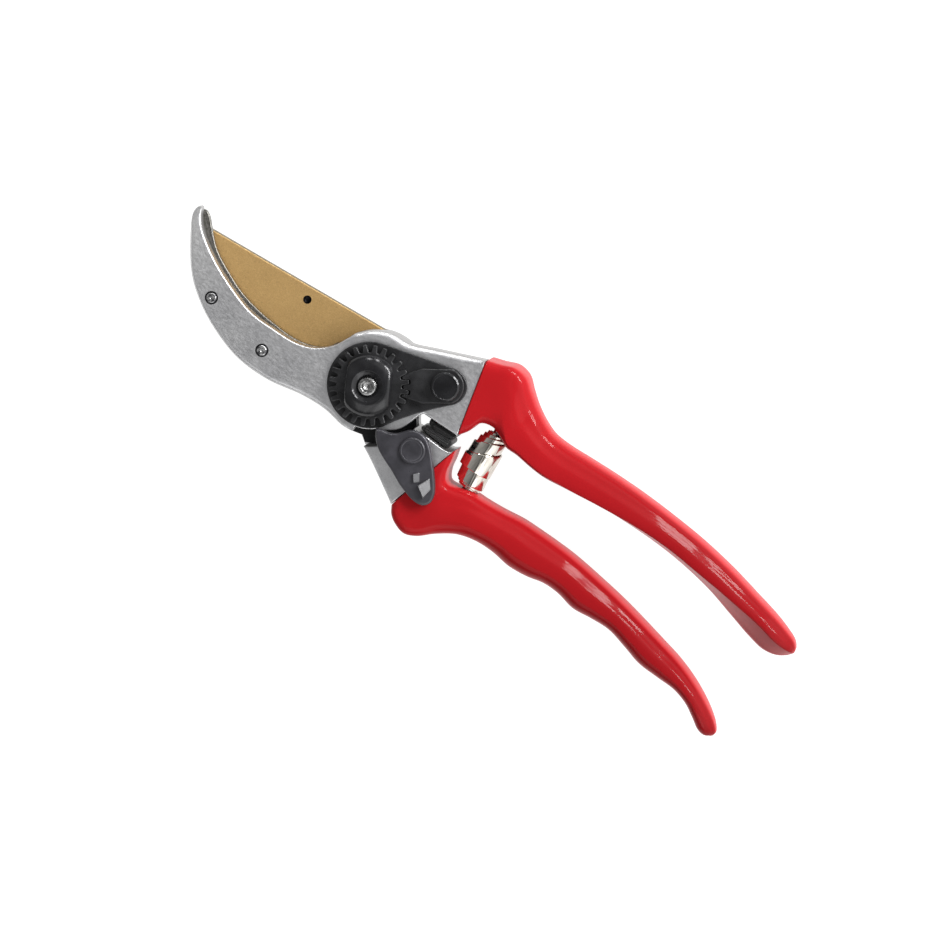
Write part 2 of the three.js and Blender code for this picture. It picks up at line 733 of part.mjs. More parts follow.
const bladeSide = new THREE.Group();
bladeSide.add(
  named('blade_handle', bladeHandle(), castAluminium),
  named('pivot_bush', pivotBush(), steel),
  named('cutting_blade', cuttingBlade(), goldCoating),
  named('blade_screw', bladeScrew(), blackSteel),
  named('blade_bumper', bladeBumper(), rubber),
  named('blade_grip', bladeGrip(), redVinyl),
  named('catch_washer', catchWasher(), blackSteel),
  named('catch_rivet', catchRivet(), slateSteel),
  named('spring_stud_lower', springStud(springFoot, springTop), castAluminium),
);

const catchGroup = new THREE.Group();
catchGroup.add(named('catch_lever', catchLever(), slateSteel));
bladeSide.add(catchGroup);

const shears = new THREE.Group();
shears.add(anvilSide, bladeSide);

export default shears;
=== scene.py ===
"""Looks for the pruning shears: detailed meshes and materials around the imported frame.

Shapes are written in millimetres, in the part's own frame, and scaled to metres when a
piece is made. Heights come from the frame's nodes.
"""

from math import acos, atan2, cos, degrees, dist, hypot, pi, radians, sin, tan, tanh

import bmesh
import bpy
from mathutils import Matrix, Vector

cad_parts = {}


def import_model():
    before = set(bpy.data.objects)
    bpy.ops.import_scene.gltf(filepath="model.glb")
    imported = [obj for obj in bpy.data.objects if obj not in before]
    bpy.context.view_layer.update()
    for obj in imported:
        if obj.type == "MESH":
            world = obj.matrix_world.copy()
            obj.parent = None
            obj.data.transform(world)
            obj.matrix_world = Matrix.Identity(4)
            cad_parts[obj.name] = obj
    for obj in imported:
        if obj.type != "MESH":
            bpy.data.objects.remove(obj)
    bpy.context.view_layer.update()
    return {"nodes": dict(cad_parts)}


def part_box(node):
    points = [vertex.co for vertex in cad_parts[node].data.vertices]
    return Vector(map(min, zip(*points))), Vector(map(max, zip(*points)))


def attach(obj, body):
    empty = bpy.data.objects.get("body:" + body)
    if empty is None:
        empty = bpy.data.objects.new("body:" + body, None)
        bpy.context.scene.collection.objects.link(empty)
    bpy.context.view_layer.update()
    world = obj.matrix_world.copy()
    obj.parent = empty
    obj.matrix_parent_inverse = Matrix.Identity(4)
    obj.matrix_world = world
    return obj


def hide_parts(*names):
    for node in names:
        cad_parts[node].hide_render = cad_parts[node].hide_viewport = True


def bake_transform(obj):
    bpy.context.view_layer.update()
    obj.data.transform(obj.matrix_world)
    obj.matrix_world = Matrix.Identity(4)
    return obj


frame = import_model()

MM = 0.001
SHARP = 38
MERGE_SPAN = 0.05
LEAST_REACH = 0.01
ORIGIN = (0.0, 0.0)
ANVIL = "anvil_side"
BLADE = "blade_side"
CATCH = "catch"


def low(node, axis=2):
    """The node's lowest coordinate on one axis."""
    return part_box(node)[0][axis] / MM


def high(node, axis=2):
    """The node's highest coordinate on one axis."""
    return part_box(node)[1][axis] / MM


def centre(node):
    """The middle of the node's box in plan."""
    return ((low(node, 0) + high(node, 0)) / 2, (low(node, 1) + high(node, 1)) / 2)


# ---------------- curves


def catmull(knots, along):
    """The point at `along`, 0 to 1, on a centripetal Catmull-Rom curve through knots."""
    place = along * (len(knots) - 1)
    first = min(int(place), len(knots) - 2)
    w = place - first
    before = [2 * a - b for a, b in zip(knots[0], knots[1])]
    after = [2 * a - b for a, b in zip(knots[-1], knots[-2])]
    near = [before, *knots, after][first:first + 4]
    d0, d1, d2 = [max(dist(near[k], near[k + 1]) ** 0.5, 1e-4) for k in range(3)]
    result = []
    for c0, c1, c2, c3 in zip(*near):
        t1 = ((c1 - c0) / d0 - (c2 - c0) / (d0 + d1) + (c2 - c1) / d1) * d1
        t2 = ((c2 - c1) / d1 - (c3 - c1) / (d1 + d2) + (c3 - c2) / d2) * d1
        square = -3 * c1 + 3 * c2 - 2 * t1 - t2
        cube = 2 * c1 - 2 * c2 + t1 + t2
        result.append(c1 + t1 * w + square * w * w + cube * w ** 3)
    return result


def run(knots, step=0.8):
    """Points about `step` apart along a smooth curve through given knots."""
    fine = [catmull(knots, i / (24 * len(knots))) for i in range(24 * len(knots) + 1)]
    lengths = [0.0]
    for a, b in zip(fine, fine[1:]):
        lengths.append(lengths[-1] + dist(a, b))
    count = max(1, round(lengths[-1] / step))
    points = []
    j = 0
    for i in range(count + 1):
        target = lengths[-1] * i / count
        while j < len(fine) - 2 and lengths[j + 1] < target:
            j += 1
        span = lengths[j + 1] - lengths[j]
        t = 0 if span == 0 else (target - lengths[j]) / span
        points.append(tuple(a + (b - a) * t for a, b in zip(fine[j], fine[j + 1])))
    return points


def straight(a, b, step=0.8):
    """Points about `step` apart on a line, with both its ends."""
    count = max(1, round(dist(a, b) / step))
    return [tuple(p + (q - p) * i / count for p, q in zip(a, b)) for i in range(count + 1)]


def polar(radius, turn, middle=ORIGIN):
    """A point by its distance and its angle in radians."""
    return (middle[0] + radius * cos(turn), middle[1] + radius * sin(turn))


def arc(middle, radius, start, end, step=0.8):
    """Points on an arc; angles in degrees."""
    count = max(2, round(abs(radians(end - start)) * radius / step))
    turns = [radians(start + (end - start) * i / count) for i in range(count + 1)]
    return [polar(radius, turn, middle) for turn in turns]


def full_turn(count):
    """Angles evenly round a circle, in radians."""
    return [2 * pi * i / count for i in range(count)]


def quarter(steps):
    """The cosine and the sine at even steps through a quarter turn."""
    turns = [pi / 2 * k / steps for k in range(steps + 1)]
    return [(cos(turn), sin(turn)) for turn in turns]


def smoothstep(value, start, end):
    """Runs smoothly from 0 at the start to 1 at the end."""
    t = min(1.0, max(0.0, (value - start) / (end - start)))
    return t * t * (3 - 2 * t)


def mix(a, b, t):
    return a + (b - a) * t


class Outline:
    """A closed outline, counter-clockwise, with an edge radius at each point."""

    def __init__(self, *runs, blend=4):
        self.points = []
        radii = []
        for points, radius in runs:
            for p in points:
                if self.points and dist(self.points[-1], p) < MERGE_SPAN:
                    continue
                self.points.append((p[0], p[1]))
                radii.append(radius)
        if dist(self.points[0], self.points[-1]) < MERGE_SPAN:
            self.points.pop()
            radii.pop()
        if self.area() < 0:
            self.points.reverse()
            radii.reverse()
        size = len(radii)
        spread = range(-blend, blend + 1)
        self.radii = [sum(radii[(i + k) % size] for k in spread) / len(spread) for i in range(size)]
        self.limits = self.corner_limits()

    def area(self):
        pairs = zip(self.points, self.points[1:] + self.points[:1])
        return sum(a[0] * b[1] - b[0] * a[1] for a, b in pairs) / 2

    def normals(self):
        """The inward normals of the two edges that meet at each point."""
        edges = [inward(a, b) for a, b in zip(self.points, self.points[1:] + self.points[:1])]
        return list(zip(edges[-1:] + edges[:-1], edges))

    def corner_limits(self):
        """How far each point may move inward before it crosses a sharp corner's other side."""
        sharp_turn = radians(28)
        slack = 0.04
        no_limit = 9.0
        corners = []
        for p, (n1, n2) in zip(self.points, self.normals()):
            turn = atan2(n1[0] * n2[1] - n1[1] * n2[0], n1[0] * n2[0] + n1[1] * n2[1])
            if turn > sharp_turn:
                corners.append((p, 0.7 * tan((pi - turn) / 2)))
        limits = []
        for p in self.points:
            reaches = [slack + slope * dist(p, corner) for corner, slope in corners]
            limits.append(min([no_limit] + reaches))
        return limits

    def level(self, insets, heights):
        """A ring of points moved inward and lifted, by one number or by one each."""
        size = len(self.points)
        insets, heights = [v if isinstance(v, list) else [v] * size for v in (insets, heights)]
        least_spread = 0.35
        rows = zip(self.points, self.normals(), insets, self.limits, heights)
        ring = []
        for (x, y), (n1, n2), inset, limit, z in rows:
            spread = max(least_spread, 1 + n1[0] * n2[0] + n1[1] * n2[1])
            scale = min(inset, limit) / spread
            ring.append((x + (n1[0] + n2[0]) * scale, y + (n1[1] + n2[1]) * scale, z))
        return ring


def inward(a, b):
    """The unit normal on the left of the line from a to b."""
    length = dist(a, b) or 1e-9
    return (-(b[1] - a[1]) / length, (b[0] - a[0]) / length)


# ---------------- mesh building


def add_rings(bm, rings):
    """Joins rings of (x, y, z) points with quads and caps both ends."""
    made = [[bm.verts.new(p) for p in ring] for ring in rings]
    size = len(made[0])
    for a, b in zip(made, made[1:]):
        for i in range(size):
            j = (i + 1) % size
            bm.faces.new((a[i], a[j], b[j], b[i]))
    bm.faces.new(list(reversed(made[0])))
    bm.faces.new(made[-1])


def add_plate(bm, outline, bottom, top, steps=5, under=0.25, flat=0.25):
    """A plate with each top edge rounded by its own radius and a small chamfer below."""
    rings = [
        outline.level(under + flat, bottom),
        outline.level(under, bottom),
        outline.level(0, bottom + under),
    ]
    for cosine, sine in quarter(steps):
        insets = [r * (1 - cosine) for r in outline.radii]
        rings.append(outline.level(insets, [top - r * (1 - sine) for r in outline.radii]))
    rings.append(outline.level([r + flat for r in outline.radii], top))
    add_rings(bm, rings)


def add_turned(bm, profile, middle=ORIGIN, spans=96):
    """A turned body from (radius, height) pairs; a radius of 0 closes it."""
    rings = []
    for radius, z in profile:
        reach = max(radius, LEAST_REACH)
        rings.append([(*polar(reach, turn, middle), z) for turn in full_turn(spans)])
    add_rings(bm, rings)


def rounded_profile(corners, radius, steps=4):
    """A (radius, height) profile with its inner corners rounded."""
    share = 0.45
    profile = [corners[0]]
    for before, corner, after in zip(corners, corners[1:], corners[2:]):
        a = Vector(before) - Vector(corner)
        b = Vector(after) - Vector(corner)
        reach = min(radius, a.length * share, b.length * share)
        start = Vector(corner) + a.normalized() * reach
        end = Vector(corner) + b.normalized() * reach
        for k in range(steps + 1):
            t = k / steps
            p = start * (1 - t) ** 2 + Vector(corner) * 2 * t * (1 - t) + end * t * t
            profile.append((p.x, p.y))
    profile.append(corners[-1])
    return profile


def linked_object(name, data):
    """A new object in the scene."""
    obj = bpy.data.objects.new(name, data)
    bpy.context.scene.collection.objects.link(obj)
    return obj


def closed_mesh(name, bm):
    """The mesh of closed bodies in metres, facing outward."""
    bmesh.ops.recalc_face_normals(bm, faces=bm.faces)
    mesh = bpy.data.meshes.new(name)
    bm.to_mesh(mesh)
    bm.free()
    mesh.transform(Matrix.Scale(MM, 4))
    return mesh


def shade(mesh, sharp):
    """Smooth faces, creased at more than `sharp` degrees."""
    for face in mesh.polygons:
        face.use_smooth = True
    mesh.set_sharp_from_angle(angle=radians(sharp))


def piece(node, bm, material, body=ANVIL, sharp=SHARP, name=None):
    """Makes the object, rides it on its body and hides the CAD node it replaces."""
    name = name or node + "_look"
    obj = linked_object(name, closed_mesh(name, bm))
    shade(obj.data, sharp)
    obj.data.materials.append(material)
    if body:
        normals = obj.modifiers.new("normals", "WEIGHTED_NORMAL")
        normals.keep_sharp = True
        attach(obj, body)
    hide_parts(node)
    return obj


def plate_piece(node, material, shape, under=0.1, flat=0.25, name=None):
    """A plate as high as its node, on the anvil side."""
    bm = bmesh.new()
    add_plate(bm, shape, low(node), high(node), 3, under, flat)
    piece(node, bm, material, name=name)


def turned_piece(node, material, body, corners, rounding, steps, spans, sharp=SHARP, name=None):
    """A turned piece about the middle of its node."""
    bm = bmesh.new()
    add_turned(bm, rounded_profile(corners, rounding, steps), centre(node), spans)
    piece(node, bm, material, body, sharp, name)


def carve(obj, bm):
    """Cuts a closed body out of an object and applies the cut."""
    cutter = linked_object("cutter", closed_mesh("cutter", bm))
    cut = obj.modifiers.new("cut", "BOOLEAN")
    cut.operation = "DIFFERENCE"
    cut.solver = "EXACT"
    cut.object = cutter
    bpy.context.view_layer.update()
    carved = obj.evaluated_get(bpy.context.evaluated_depsgraph_get())
    result = bpy.data.meshes.new_from_object(carved)
    obj.modifiers.remove(cut)
    obj.data = result
    bpy.data.objects.remove(cutter)
    shade(obj.data, SHARP)


# ---------------- materials


LOCATING_HOLE = (-30.3, 6.3)
THUMB_FACETS = (30.4, -12.2, low("catch_lever") + 2.35)


def plug(tree, node, inputs):
    """Sets a node's inputs, each to a constant or to another node's socket."""
    for key, value in inputs.items():
        if isinstance(value, bpy.types.NodeSocket):
            tree.links.new(value, node.inputs[key])
        else:
            node.inputs[key].default_value = value
    return node


def add_node(tree, kind, inputs):
    return plug(tree, tree.nodes.new("ShaderNode" + kind), inputs)


class Shader:
    """A Principled material with object-space texture helpers."""

    def __init__(self, name, metallic):
        self.material = bpy.data.materials.new(name)
        self.material.use_nodes = True
        self.tree = self.material.node_tree
        self.bsdf = self.tree.nodes["Principled BSDF"]
        self.set("Metallic", metallic)
        self.place = self.add("TexCoord", {}).outputs["Object"]
        self.normal = None

    def set(self, name, value):
        plug(self.tree, self.bsdf, {name: value})

    def add(self, kind, inputs):
        return add_node(self.tree, kind, inputs)

    def noise(self, size_mm, detail=3.0, stretch=(1, 1, 1), turn=0.0, roughness=0.55):
        """Noise with features of a size, stretched along axes turned about Z."""
        inputs = {"Vector": self.place, "Rotation": (0, 0, turn), "Scale": stretch}
        mapping = self.add("Mapping", inputs)
        inputs = {"Scale": 1 / (size_mm * MM), "Detail": detail, "Roughness": roughness}
        inputs["Vector"] = mapping.outputs["Vector"]
        return self.add("TexNoise", inputs).outputs["Fac"]

    def ranged(self, value, low_in, high_in, low_out, high_out):
        ends = {"From Min": low_in, "From Max": high_in, "To Min": low_out, "To Max": high_out}
        return self.add("MapRange", {"Value": value, **ends}).outputs["Result"]

    def color_from(self, value, dark, light, low_in=0.35, high_in=0.65):
        """Makes the base colour run from dark to light."""
        ramp = self.add("ValToRGB", {"Fac": value})
        stops = ramp.color_ramp.elements
        for stop, position, color in zip(stops, (low_in, high_in), (dark, light)):
            stop.position = position
            stop.color = (*color, 1)
        self.set("Base Color", ramp.outputs["Color"])
        return ramp.outputs["Color"]

    def blended(self, value, first, second):
        """Makes the base colour a mix of two, each a socket or a tuple, by a value."""
        first, second = [(*c, 1) if isinstance(c, tuple) else c for c in (first, second)]
        node = self.tree.nodes.new("ShaderNodeMix")
        node.data_type = "RGBA"
        plug(self.tree, node, {"Factor": value, 6: first, 7: second})
        self.set("Base Color", node.outputs[2])
        return node.outputs[2]

    def rough_from(self, value, smooth, rough):
        self.set("Roughness", self.ranged(value, 0.3, 0.7, smooth, rough))

    def bump(self, value, depth_mm, strength):
        """Adds relief on top of any relief that is there already."""
        inputs = {"Distance": depth_mm * MM, "Strength": strength, "Height": value}
        if self.normal:
            inputs["Normal"] = self.normal
        self.normal = self.add("Bump", inputs).outputs["Normal"]
        self.set("Normal", self.normal)

    def above(self, axis, level_mm, soft_mm):
        """A 0 to 1 mask that rises along an axis at a level."""
        split = self.add("SeparateXYZ", {"Vector": self.place})
        start = (level_mm - soft_mm) * MM
        end = (level_mm + soft_mm) * MM
        return self.ranged(split.outputs[axis], start, end, 0, 1)

    def upright(self, wall, face):
        """A 0 to 1 mask of how much a surface faces along Z."""
        geometry = self.add("NewGeometry", {})
        split = self.add("SeparateXYZ", {"Vector": geometry.outputs["Normal"]})
        return self.ranged(split.outputs["Z"], wall, face, 0, 1)

    def near(self, place_mm, radius_mm, soft_mm=0.05):
        """A 0 to 1 mask of a ball about a place."""
        distance = self.tree.nodes.new("ShaderNodeVectorMath")
        distance.operation = "DISTANCE"
        plug(self.tree, distance, {0: self.place, 1: [v * MM for v in place_mm]})
        start = (radius_mm - soft_mm) * MM
        end = (radius_mm + soft_mm) * MM
        return self.ranged(distance.outputs["Value"], start, end, 1, 0)

    def rings(self, spacing_mm, middle):
        """Fine turning rings about an upright axis."""
        shift = (-middle[0] * MM, -middle[1] * MM, 0)
        mapping = self.add("Mapping", {"Vector": self.place, "Location": shift})
        inputs = {"Scale": 1 / (2 * spacing_mm * MM), "Distortion": 1.2, "Detail": 2}
        inputs["Vector"] = mapping.outputs["Vector"]
        wave = self.add("TexWave", inputs)
        wave.wave_type = "RINGS"
        wave.rings_direction = "Z"
        return wave.outputs["Fac"]


def cast_aluminium(name, turn):
    """Brushed on its flat faces, paler toward the hook's tip as a painted highlight, darker on its cast
    side walls as painted shade.
    """
    s = Shader(name, 1.0)
    cloud = s.noise(9, 3)
    grain = s.noise(0.4, 4, roughness=0.75)
    streak = s.noise(0.5, 4, stretch=(0.4, 1, 0.7), turn=turn)
    base = s.color_from(cloud, (0.66, 0.66, 0.675), (0.80, 0.80, 0.81), 0.3, 0.7)
    # Painted highlight: the colour turns near white toward the hook's tip.
    beyond_tip = s.above("X", -58, 9)
    highlighted = s.blended(beyond_tip, (0.97, 0.97, 0.97), base)
    pits = s.ranged(grain, 0.5, 0.72, 0, 0.55)
    brushed = s.blended(pits, highlighted, (0.42, 0.42, 0.43))
    # Painted shade: walls that face sideways get a darker grey than the flat faces.
    faces = s.upright(0.45, 0.85)
    s.blended(faces, (0.42, 0.415, 0.41), brushed)
    s.rough_from(streak, 0.34, 0.48)
    s.bump(grain, 0.03, 0.55)
    s.bump(streak, 0.015, 0.4)
    return s.material


def rivet_metal(seat):
    """A bright peened head, with painted shade in the ring it sits in."""
    s = Shader("rivet_metal", 1.0)
    marks = s.noise(1.1, 2, roughness=0.6)
    grain = s.noise(0.3, 3)
    head = s.color_from(marks, (0.12, 0.12, 0.13), (0.62, 0.62, 0.62), 0.42, 0.56)
    # Painted shade: everything below the seat level is painted near black.
    s.blended(s.above("Z", seat, 0.06), (0.03, 0.03, 0.032), head)
    s.rough_from(grain, 0.25, 0.45)
    s.bump(marks, 0.12, 0.8)
    return s.material


def grained(name, metallic, size_mm, dark, light, gloss, depth_mm, **noise):
    """A plain material whose colour, roughness and relief all follow one noise."""
    s = Shader(name, metallic)
    grain = s.noise(size_mm, **noise)
    s.color_from(grain, dark, light)
    s.rough_from(grain, *gloss)
    s.bump(grain, depth_mm, 0.5)
    return s.material


def strip_steel():
    """The counter-blade's dull hardened strip."""
    dark = (0.15, 0.145, 0.13)
    light = (0.27, 0.26, 0.24)
    return grained("strip_steel", 1.0, 0.5, dark, light, (0.3, 0.5), 0.02, roughness=0.6)


def rubber():
    """The bumpers' matt black."""
    dark = (0.008, 0.008, 0.008)
    light = (0.020, 0.020, 0.021)
    gloss = (0.38, 0.6)
    return grained("rubber", 0.0, 0.3, dark, light, gloss, 0.03, detail=4, roughness=0.7)


def gold_coating():
    """Speckled gold, with painted shade: brown on its walls, black round the pivot and in the hole."""
    s = Shader("gold_coating", 0.7)
    cloud = s.noise(14, 3)
    grain = s.noise(0.3, 4, roughness=0.75)
    speck = s.noise(0.55, 3, roughness=0.7)
    streak = s.noise(0.35, 3, stretch=(0.08, 1, 1), turn=-0.17)
    base = s.color_from(cloud, (0.50, 0.312, 0.116), (0.55, 0.345, 0.13), 0.3, 0.7)
    glints = s.ranged(grain, 0.4, 0.75, 0, 0.6)
    bright = s.blended(glints, base, (0.82, 0.565, 0.265))
    specks = s.ranged(speck, 0.56, 0.72, 0, 0.55)
    gold = s.blended(specks, bright, (0.36, 0.22, 0.09))
    # Painted shade: walls and back bevels that face sideways are painted brown.
    faces = s.upright(0.6, 0.98)
    walled = s.blended(faces, (0.20, 0.16, 0.10), gold)
    # Painted shade: the tang round the pivot, seen between the parts, is painted near black.
    heel = s.above("X", -6.5, 1.2)
    coated = s.blended(heel, walled, (0.02, 0.02, 0.022))
    # Painted shade: the inside of the locating hole is painted black.
    hole = s.near((*LOCATING_HOLE, high("cutting_blade") - 0.7), 1.42)
    s.blended(hole, coated, (0.008, 0.007, 0.008))
    s.rough_from(streak, 0.40, 0.52)
    s.bump(grain, 0.02, 0.5)
    return s.material


def black_oxide(name, dark, light, smooth, rough, highlight_patch=None):
    """Blackened steel; the last argument is the middle of a patch with a painted highlight on what
    stands above it.
    """
    s = Shader(name, 0.3)
    grain = s.noise(0.35, 4, roughness=0.7)
    cloud = s.noise(5, 3)
    base = s.color_from(cloud, dark, light)
    # Painted highlight: a lighter patch on the raised thumb facets.
    if highlight_patch:
        highlighted = s.blended(s.above("Z", highlight_patch[2], 0.06), base, (0.10, 0.10, 0.105))
        s.blended(s.near(highlight_patch, 4.2, 0.6), base, highlighted)
    s.rough_from(grain, smooth, rough)
    s.bump(grain, 0.02, 0.4)
    return s.material


def bright_steel(name, middle):
    """Turned steel with fine rings about its middle."""
    s = Shader(name, 1.0)
    rings = s.rings(0.22, middle)
    grain = s.noise(0.6, 4)
    s.color_from(grain, (0.2, 0.2, 0.2), (0.46, 0.46, 0.455))
    s.rough_from(grain, 0.18, 0.36)
    s.bump(rings, 0.012, 0.5)
    return s.material


def nickel():
    """The spring's bright plating."""
    s = Shader("nickel", 1.0)
    grain = s.noise(0.8, 3, stretch=(1, 0.25, 1))
    s.color_from(grain, (0.60, 0.565, 0.50), (0.78, 0.745, 0.68))
    s.rough_from(grain, 0.07, 0.17)
    s.bump(grain, 0.008, 0.3)
    return s.material


def red_vinyl():
    """Dipped vinyl with a thin glossy coat; painted shade darkens it toward the grips' ends and painted
    light makes its side walls a brighter red.
    """
    s = Shader("red_vinyl", 0.0)
    cloud = s.noise(16, 2)
    peel = s.noise(6, 2)
    plain_red = s.color_from(cloud, (0.37, 0.009, 0.012), (0.41, 0.0105, 0.0145), 0.3, 0.7)
    # Painted shade: the red darkens toward the grips' far ends.
    ends = s.above("X", 58, 40)
    end_shaded = s.blended(ends, plain_red, (0.245, 0.0065, 0.009))
    # Painted light: faces that turn sideways are painted a brighter red, standing in for reflected
    # light.
    faces = s.upright(0.15, 0.5)
    s.blended(faces, (0.46, 0.015, 0.019), end_shaded)
    s.rough_from(cloud, 0.3, 0.36)
    s.set("Specular IOR Level", 0.02)
    s.set("Coat Weight", 0.16)
    s.set("Coat IOR", 1.5)
    s.set("Coat Roughness", 0.05)
    s.bump(peel, 0.1, 0.3)
    return s.material


# ---------------- anvil side

HOOK_OUTER = [
    (-70.0, 7.8), (-70.3, 8.3), (-70.9, 8.45), (-71.4, 7.9), (-71.65, 6.6), (-71.2, 4.7),
    (-66.9, -1.7), (-60.5, -8.8), (-53.8, -13.3), (-45.7, -16.7), (-35.1, -19.0), (-24.4, -18.3),
    (-13.7, -15.3), (-6.3, -14.2), (-1.5, -14.4),
]
HOOK_INNER = [
    (-12.9, 8.6), (-13.8, 5.9), (-15.6, 1.8), (-19.2, -2.1), (-24.3, -4.5), (-31.7, -5.6),
    (-39.5, -6.1), (-47.6, -4.6), (-58.0, -1.1), (-66.4, 3.5), (-69.3, 6.5), (-70.0, 7.8),
]
CROWN = [
    (21.5, 27.0), (8.8, 20.3), (1.4, 16.5), (-0.9, 16.1), (-3.2, 15.8), (-5.7, 15.0),
    (-8.1, 13.6), (-10.4, 11.8), (-12.9, 8.6),
]
BOSS_FOOT = [
    (10.5, -8.2), (12.4, -6.8), (13.8, -5.6), (15.0, -3.8), (15.9, -0.8), (16.4, 1.9), (17.2, 3.5),
]
NECK_FOOT = [(17.2, 3.5), (22.7, 4.0), (28.8, 4.7)]
BOSS_RADIUS = 14.5
NOTCH_RADIUS = 12.9
SHOULDER_RADIUS = 18.3
THUMB_LEAD = ((28.8, 4.7), (21.5, 27.0))
FINGER_LEAD = ((26.5, -23.0), (30.8, 0.5))


def neck_runs():
    """The boss's lower rim, the catch's notch, the neck and its crown."""
    return [
        (arc(ORIGIN, NOTCH_RADIUS, -70, -42), 0.3),
        (run(BOSS_FOOT), 0.3),
        (run(NECK_FOOT), 0.6),
        (straight(*THUMB_LEAD), 0.2),
        (run(CROWN), 1.7),
    ]


def drafted(points, lean):
    """Leans the crown side of the deep neck inward by a casting's draft."""
    rise = 15.75
    slope = 0.52
    reach = 6.0
    length = hypot(1, slope)
    moved = []
    for x, y, z in points:
        depth = (rise + slope * x - y) / length
        shift = lean * min(1, max(0, 1 - depth / reach)) / length
        moved.append((x + slope * shift, y - shift, z))
    return moved


def anvil_handle(material):
    """The hook, boss and neck: a bevelled face plate, a boss below it and a deep neck."""
    bm = bmesh.new()
    top = high("anvil_handle")
    face = Outline(
        (run(HOOK_OUTER), 1.3),
        (arc(ORIGIN, BOSS_RADIUS, -95, -73), 0.7),
        *neck_runs(),
        (run(HOOK_INNER), 0.55),
        blend=3,
    )
    tip_radius = 0.3
    growth = 0.13
    spans = [dist(p, HOOK_OUTER[0]) for p in face.points]
    face.radii = [min(r, tip_radius + growth * span) for r, span in zip(face.radii, spans)]
    add_plate(bm, face, high("anvil_blade") + 0.3, top)
    boss = Outline((arc(ORIGIN, BOSS_RADIUS, -208, -73), 0.2), *neck_runs(), blend=1)
    boss.radii = [0.2] * len(boss.points)
    add_plate(bm, boss, low("anvil_blade"), high("anvil_blade") + 0.6, steps=2)
    deep = Outline(
        (arc(ORIGIN, SHOULDER_RADIUS, 60, 11.5), 0.4),
        (straight((17.9, 3.7), THUMB_LEAD[0]), 0.4),
        (straight(*THUMB_LEAD), 0.2),
        (straight(THUMB_LEAD[1], (9.5, 20.5)), 0.4),
    )
    bottom = low("anvil_handle")
    # Each row is a height, how far the edge is rounded off there, and the draft's lean.
    rows = [(bottom, 1.2, 1.9), (bottom + 0.35, 0.35, 1.9), (bottom + 1.2, 0, 1.8)]
    rows.append((high("anvil_blade") + 2, 0, 0))
    add_rings(bm, [drafted(deep.level(round_off, z), lean) for z, round_off, lean in rows])
    piece("anvil_handle", bm, material, name="anvil_casting")


COUNTER_EDGE = [
    (-69.4, 7.8), (-68.3, 7.5), (-67.0, 6.7), (-65.2, 5.1), (-59.7, 0.9), (-53.2, -1.9),
    (-47.0, -3.9), (-40.5, -4.9), (-33.2, -5.1), (-26.0, -4.6), (-20.7, -2.9), (-17.2, -0.4),
    (-15.3, 3.0),
]
COUNTER_BACK = [
    (-15.3, 3.0), (-15.6, -5.5), (-20.0, -12.5), (-30.7, -15.8), (-41.0, -15.3), (-51.7, -12.7),
    (-60.0, -6.7), (-66.5, 0.3), (-70.6, 6.3), (-70.4, 7.4), (-69.4, 7.8),
]


def anvil_blade(material):
    """The counter-blade riveted behind the hook."""
    shape = Outline((run(COUNTER_EDGE), 0.35), (run(COUNTER_BACK), 0.2))
    plate_piece("anvil_blade", material, shape, name="counter_blade")


def anvil_rivet(node, material):
    """A peened head in a shallow ring, with a dimple from the punch."""
    seat = high("anvil_handle") + 0.02
    top = high(node)
    corners = [
        (0, low(node)), (1.2, low(node)), (1.2, seat), (1.95, seat), (1.95, seat + 0.06),
        (1.5, seat + 0.08), (1.42, top - 0.1), (1.2, top), (0.4, top), (0.25, top - 0.15),
        (0, top - 0.2),
    ]
    turned_piece(node, material, ANVIL, corners, 0.08, 3, 48, name=node + "_head")


def lock_plate(material):
    """A round plate with one straight tangent side and a waisted skirt toward the screw."""
    plate_radius = -low("lock_plate", 0)
    far = (17.8, 14.3)
    far_radius = 5.5
    reach = hypot(*far)
    swing = acos((plate_radius - far_radius) / reach)
    tangent = degrees(atan2(far[1], far[0]) + swing)
    skirt = [(10.5, -7.0), (11.9, -4.0), (15.4, 1.9), (18.9, 6.8), (21.6, 10.3)]
    shape = Outline(
        (arc(ORIGIN, plate_radius, tangent, 326, 0.5), 0.3),
        (run(skirt, 0.5), 0.3),
        (arc(far, far_radius, -42, tangent, 0.5), 0.3),
    )
    plate_piece("lock_plate", material, shape)


TEETH = 24


def tooth_points(shift, start, end, count):
    """The rounded tooth line between two angles in degrees."""
    middle_radius = 10.65
    half_depth = 1.1
    squareness = 2.6
    tip_bias = 0.4
    points = []
    for i in range(count + 1):
        turn = radians(mix(start, end, i / count))
        wave = tanh(squareness * cos(TEETH * turn) + tip_bias)
        height = half_depth * wave / tanh(squareness + tip_bias)
        points.append(polar(middle_radius + shift + height, turn))
    return points


def nut_collar(material):
    """The toothed collar: a ring of small round-ended tabs."""
    points_per_tooth = 28
    rim = Outline((tooth_points(0, 0, 360, TEETH * points_per_tooth), 0.3), blend=0)
    plate_piece("nut_collar", material, rim, 0.08, 0.05, "nut_collar_teeth")


def nut_ring(radius, flat, z):
    """A circle cut by two flats, with the corners eased."""
    flats_turn = radians(33.7)
    power = 22
    points = []
    for turn in full_turn(192):
        across = max(abs(cos(turn - flats_turn)), 1e-6)
        reach = (radius ** -power + (flat / across) ** -power) ** (-1 / power)
        points.append((*polar(reach, turn), z))
    return points


